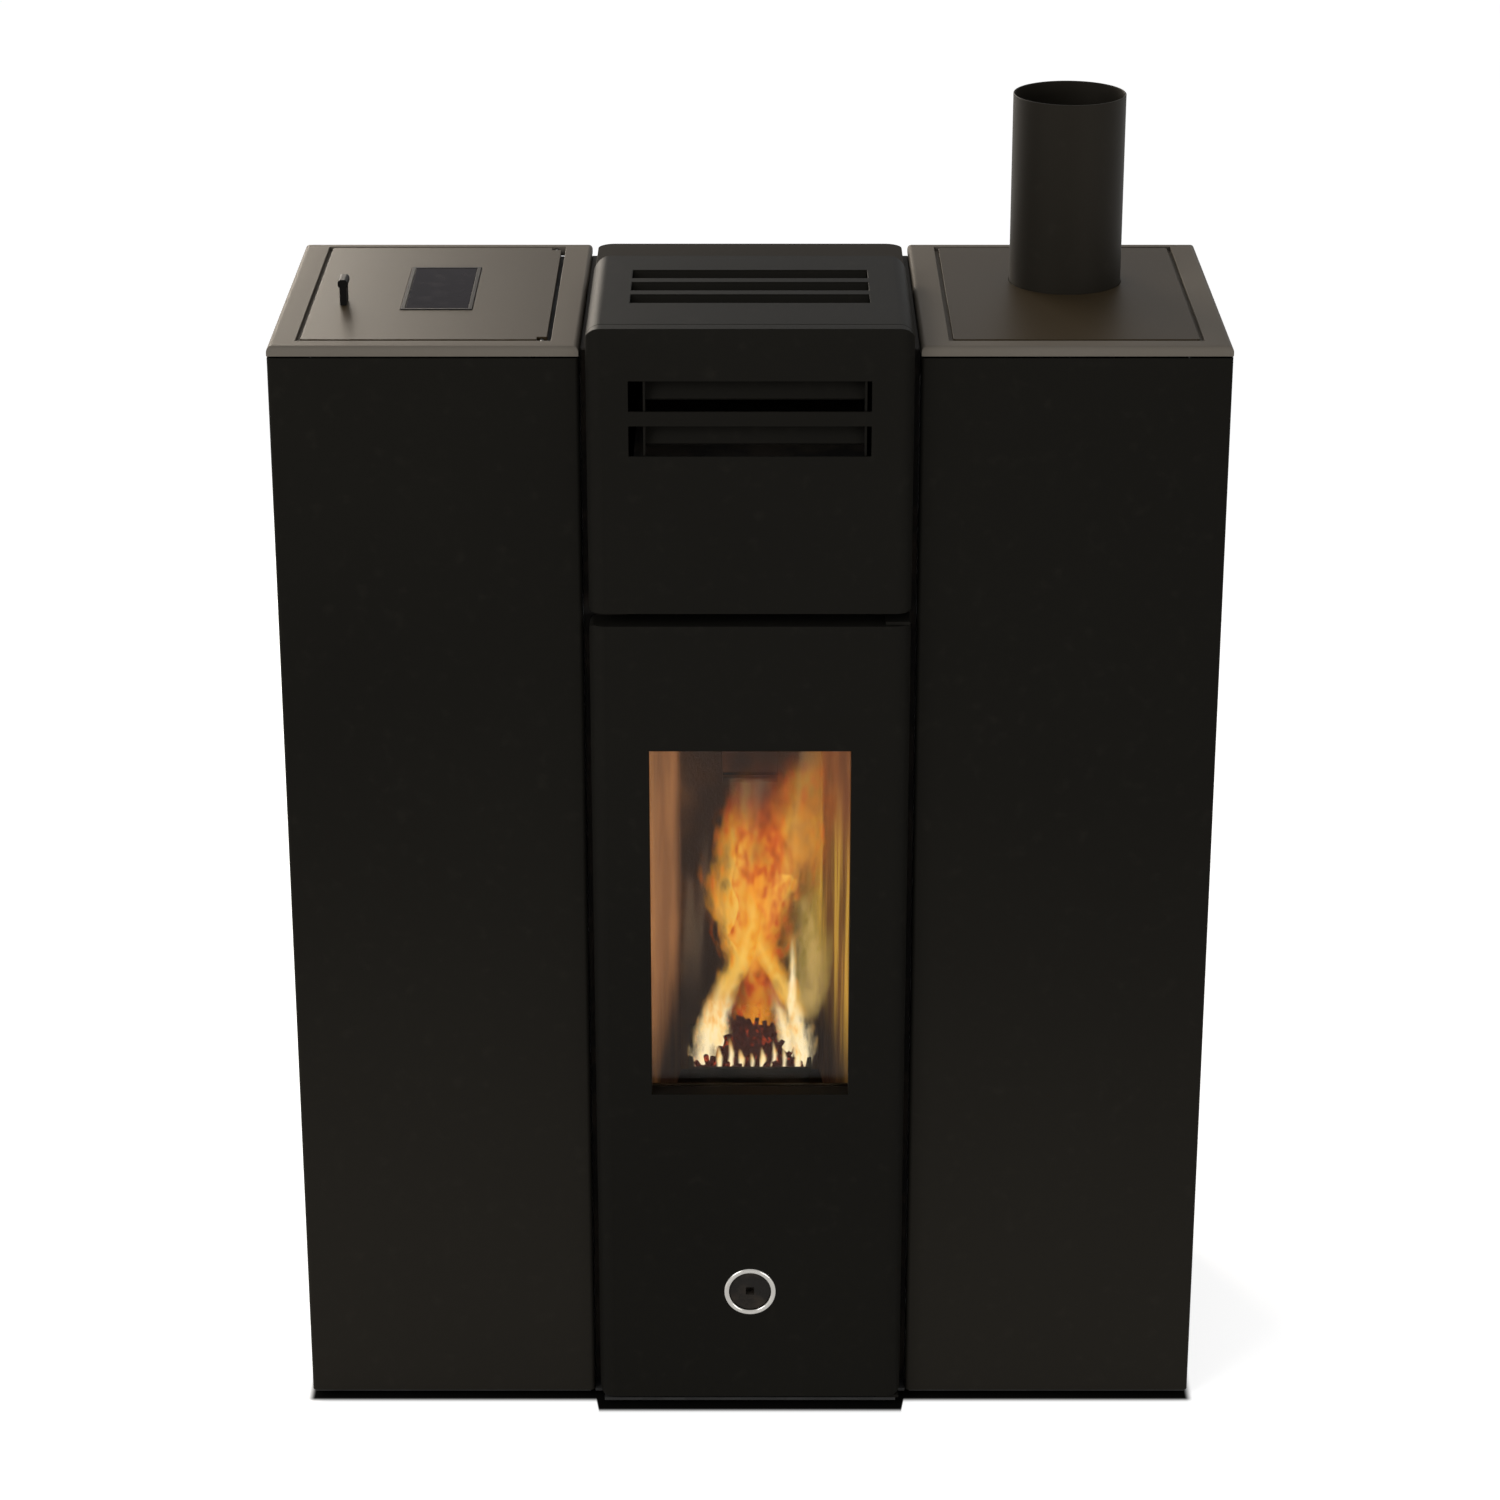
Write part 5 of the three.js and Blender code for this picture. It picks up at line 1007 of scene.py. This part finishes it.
# %% Write the heap recipe
heap_recipe = Recipe("heap", {
    "Spacing": "Float", "Pellet Radius": "Float", "Pellet Length": "Float",
    "Least Turn": "Vector", "Most Turn": "Vector", "Seed": "Int",
})
given = heap_recipe.given
spots = heap_recipe.node(
    "GeometryNodeDistributePointsOnFaces",
    {"distribute_method": "POISSON"},
    {
        "Mesh": given["Geometry"],
        "Distance Min": given["Spacing"],
        "Density Max": 60000.0,
        "Seed": given["Seed"],
    },
)
rod = heap_recipe.node(
    "GeometryNodeMeshCylinder",
    sockets={"Vertices": 8, "Radius": given["Pellet Radius"], "Depth": given["Pellet Length"]},
)
tumble = heap_recipe.node(
    "FunctionNodeRandomValue",
    {"data_type": "FLOAT_VECTOR"},
    {0: given["Least Turn"], 1: given["Most Turn"], "Seed": given["Seed"]},
)
length = heap_recipe.node(
    "FunctionNodeRandomValue",
    {"data_type": "FLOAT_VECTOR"},
    {0: (0.9, 0.9, 0.6), 1: (1.0, 1.0, 1.0), "Seed": given["Seed"]},
)
rods = heap_recipe.node("GeometryNodeInstanceOnPoints", sockets={
    "Points": spots.outputs[0],
    "Instance": rod.outputs["Mesh"],
    "Rotation": tumble.outputs[0],
    "Scale": length.outputs[0],
})
heap = heap_recipe.node("GeometryNodeJoinGeometry", sockets={0: rods.outputs[0]})
heap_recipe.plug(given["Geometry"], heap.inputs[0])
heap_recipe.serve(heap.outputs[0])


# %% A mound to heap the rods on
def mound(name, centre, half, edge_height, crown, steps=14):
    """A sheet of ground at the edge height that rises by the crown in the middle."""
    points = []
    for row in range(steps + 1):
        for column in range(steps + 1):
            u = column / steps * 2.0 - 1.0
            v = row / steps * 2.0 - 1.0
            rise = crown * (1.0 - u * u) * (1.0 - v * v)
            points.append((centre[0] + u * half[0], centre[1] + v * half[1], edge_height + rise))
    return points_mesh(name, points, faces=grid_faces(steps, steps))


# %% [markdown]
# ## The ember bed
# Burning pellets are black where air cools them and glow red elsewhere. The glow goes into the
# emission colour of the finish, in random grains and patches.

# %% Mix the embers and heap them in the pot
ember = Finish("ember", 0.1, {"Emission Strength": 1.0})
coals = ember.grains(150.0)[0]
hot = ember.noise(120.0, 4.0).smooth(0.5, 0.68) * coals.smooth(0.3, 0.8)
ember.set({
    "Base Color": ember.mix(coals, seen(28, 18, 15), seen(52, 38, 32)),
    "Roughness": 0.85 + coals * 0.1,
    "Emission Color": ember.mix(hot, seen(44, 16, 14), seen(176, 66, 34)),
})
ember.relief(ember.noise(500.0, 3.0), 0.0006)

pot_low, pot_high = (corner * 1000.0 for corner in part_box("burn_pot"))
pot_centre = (pot_low + pot_high) / 2.0
ember_ground = mound("ember_ground", (pot_centre.x, pot_centre.y), (53.0, 43.0), 304.0, 50.0)
ember_bed = heap_recipe.cook(ember_ground, {
    "Spacing": 0.0058,
    "Pellet Radius": 0.0026,
    "Pellet Length": 0.022,
    "Least Turn": (-0.6, -0.6, 0.0),
    "Most Turn": (0.6, 0.6, 2.0 * math.pi),
    "Seed": 11,
    "Material": ember.material,
})
finished("ember_bed", ember_bed, ember, "pot", "cast_iron")

# %% [markdown]
# ## The flames
# A flame is hot gas that glows, with no surface of its own. A volume would be truest, but it is
# slow and an exported model loses it. So each flame is a thin sheet, bowed like half a pipe so
# that it has a width from every side, along a path read from the photograph. Its sheet has a UV
# map: u runs across and v from root to tip. Alpha fades to the edges and the tip, torn by noise.


# %% Mix the flame finishes
def flame_finish(name, root, heart, tip, strength, density):
    """A flame's glow from root to tip, soft at its edges and torn by rising noise."""
    black = (0.0, 0.0, 0.0, 1.0)
    sockets = {"Base Color": black, "Roughness": 1.0, "Emission Strength": strength}
    flame = Finish(name, 0.0, sockets)
    spot = flame.node("ShaderNodeTexCoord").outputs["UV"]
    parts = flame.node("ShaderNodeSeparateXYZ", sockets={0: spot})
    u = Value(flame, parts.outputs[0])
    v = Value(flame, parts.outputs[1])
    wisp = flame.noise(60.0, 4.0, (1.0, 1.0, 0.34))
    curl = flame.noise(150.0, 3.0, (1.0, 1.0, 0.45))
    body = 1.0 - abs(u * 2.0 - 1.0)
    thick = body + (wisp - 0.5) * 1.5 + (curl - 0.5) * 0.8 - v * 0.2
    ends = v.smooth(0.0, 0.16) * v.smooth(1.0, 0.55)
    warmth = v * 0.8 + (curl - 0.5) * 1.5 + (wisp - 0.5) * 0.8 + (0.5 - body) * 0.3
    stops = [(0.0, root), (0.45, heart), (1.0, tip)]
    colour = flame.node("ShaderNodeValToRGB", {"stops": stops}, {0: warmth.smooth(0.0, 1.0)})
    flame.set({
        "Emission Color": colour.outputs[0],
        "Alpha": thick.smooth(-0.02, 0.85) * ends * density,
    })
    return flame


flame_looks = {
    "white": (seen(255, 240, 200), seen(255, 228, 168), seen(244, 178, 86), 1.1, 0.97),
    "yellow": (seen(250, 202, 96), seen(243, 172, 52), seen(220, 100, 26), 1.0, 0.86),
    "orange": (seen(250, 164, 50), seen(218, 88, 24), seen(140, 44, 18), 1.0, 0.72),
    "smoke": (seen(206, 112, 40), seen(170, 84, 34), seen(112, 60, 30), 0.85, 0.5),
    "olive": (seen(228, 196, 120), seen(178, 156, 78), seen(140, 110, 56), 0.95, 0.62),
}
flames = {name: flame_finish(name + "_flame", *look) for name, look in flame_looks.items()}


# %% Bend a sheet into a flame
def flame_sheet(name, finish, depth, path, bow=0.5, across=10, along=26):
    """A bowed sheet along (x, z, half width) stations in millimetres, at a depth in the pot."""
    points = []
    coordinates = []
    for row in range(along + 1):
        v = row / along
        spot = v * (len(path) - 1)
        index = min(int(spot), len(path) - 2)
        share = spot - index
        share = share * share * (3.0 - 2.0 * share)
        x, z, half = (a + (b - a) * share for a, b in zip(path[index], path[index + 1]))
        for column in range(across + 1):
            u = column / across * 2.0 - 1.0
            points.append((x + u * half, depth - bow * half * (1.0 - u * u), z))
            coordinates.append((column / across, v))
    mesh = points_mesh(name, points, faces=grid_faces(along, across))
    layer = mesh.uv_layers.new(name="along_the_flame")
    for corner in mesh.loops:
        layer.data[corner.index].uv = coordinates[corner.vertex_index]
    mesh.polygons.foreach_set("use_smooth", [True] * len(mesh.polygons))
    finished(name, mesh, finish, "pot", "cast_iron")


# %% Light the fire
flame_plan = [
    ("left_outer", "white", -20,
     [(-44, 303, 11), (-43, 322, 19), (-39, 352, 20), (-33, 382, 15), (-24, 412, 7)]),
    ("left_inner", "white", -16,
     [(-25, 303, 10), (-27, 318, 13), (-29, 346, 15), (-22, 380, 13), (-10, 414, 9)]),
    ("left_strand", "yellow", -8,
     [(-36, 356, 12), (-20, 396, 17), (-4, 428, 19), (4, 460, 20), (-4, 500, 18), (-14, 546, 12)]),
    ("right_outer", "white", -20,
     [(51, 303, 9), (52, 324, 15), (48, 350, 18), (41, 380, 14), (34, 408, 7)]),
    ("right_inner", "white", -16,
     [(38, 303, 9), (37, 316, 12), (35, 342, 13), (28, 372, 12), (18, 404, 9)]),
    ("right_strand", "yellow", -6,
     [(48, 352, 11), (32, 392, 16), (15, 424, 18), (0, 452, 18), (-12, 494, 16)]),
    ("diamond", "orange", 2, [(4, 330, 20), (8, 362, 34), (8, 400, 30), (4, 440, 18)]),
    ("body", "yellow", 6,
     [(0, 388, 12), (-6, 430, 28), (-12, 478, 40), (-12, 526, 40), (-8, 572, 30), (-2, 620, 18)]),
    ("heart", "orange", 12,
     [(4, 384, 20), (4, 440, 50), (8, 500, 62), (14, 560, 60), (22, 624, 42)]),
    ("branch", "yellow", 8,
     [(2, 424, 14), (18, 466, 28), (30, 500, 36), (44, 538, 38), (44, 578, 34), (50, 614, 28),
      (60, 642, 16)]),
    ("haze", "smoke", 18, [(20, 460, 36), (40, 530, 66), (56, 590, 70), (60, 640, 56)]),
    ("lance", "white", -12, [(40, 356, 5), (41, 402, 6), (41, 448, 4)]),
    ("wisp", "olive", 14,
     [(54, 340, 14), (60, 384, 26), (58, 432, 30), (50, 480, 22), (46, 510, 12)]),
]
for name, look, shift_back, path in flame_plan:
    flame_sheet("flame_" + name, flames[look], pot_centre.y + shift_back, path)

tooth_foot = 314.0
tooth_depth = pot_low.y + 12.0
teeth = [(-30, 26), (-19, 34), (-9, 22), (2, 18), (12, 24), (23, 32), (33, 24), (46, 30)]
for index, (x, height) in enumerate(teeth):
    waist = (x + 1, tooth_foot + height * 0.5, 4.4)
    tooth = [(x, tooth_foot, 4.0), waist, (x - 1, tooth_foot + height, 2.0)]
    flame_sheet(f"flame_tooth_{index}", flames["white"], tooth_depth, tooth, 0.3, 6, 10)
print(len(flame_plan) + len(teeth), "flames stand in the pot")

# %% [markdown]
# ## The fuel in the hopper
# The hopper is seen when its lid is open. An empty one would look unused, so it is filled to a
# hand below the rim with pellets from the heap recipe, in pale wood.

# %% Fill the hopper
wood = Finish("pellet_wood", 0.25)
rings = wood.grains(130.0)[0]
split = wood.noise(900.0, 3.0)
wood.set({
    "Base Color": wood.mix(rings, seen(142, 104, 62), seen(196, 160, 108)),
    "Roughness": 0.7 + split * 0.2,
})
wood.relief(split, 0.0002)

fuel_ground = mound("fuel_ground", (-293.5, 14.75), (94.0, 144.0), 936.0, 26.0, 20)
fuel = heap_recipe.cook(fuel_ground, {
    "Spacing": 0.0075,
    "Pellet Radius": 0.003,
    "Pellet Length": 0.02,
    "Least Turn": (1.1, 0.0, 0.0),
    "Most Turn": (2.0, 0.4, 2.0 * math.pi),
    "Seed": 5,
    "Material": wood.material,
})
finished("pellet_fuel", fuel, wood, "stove", "vermiculite")
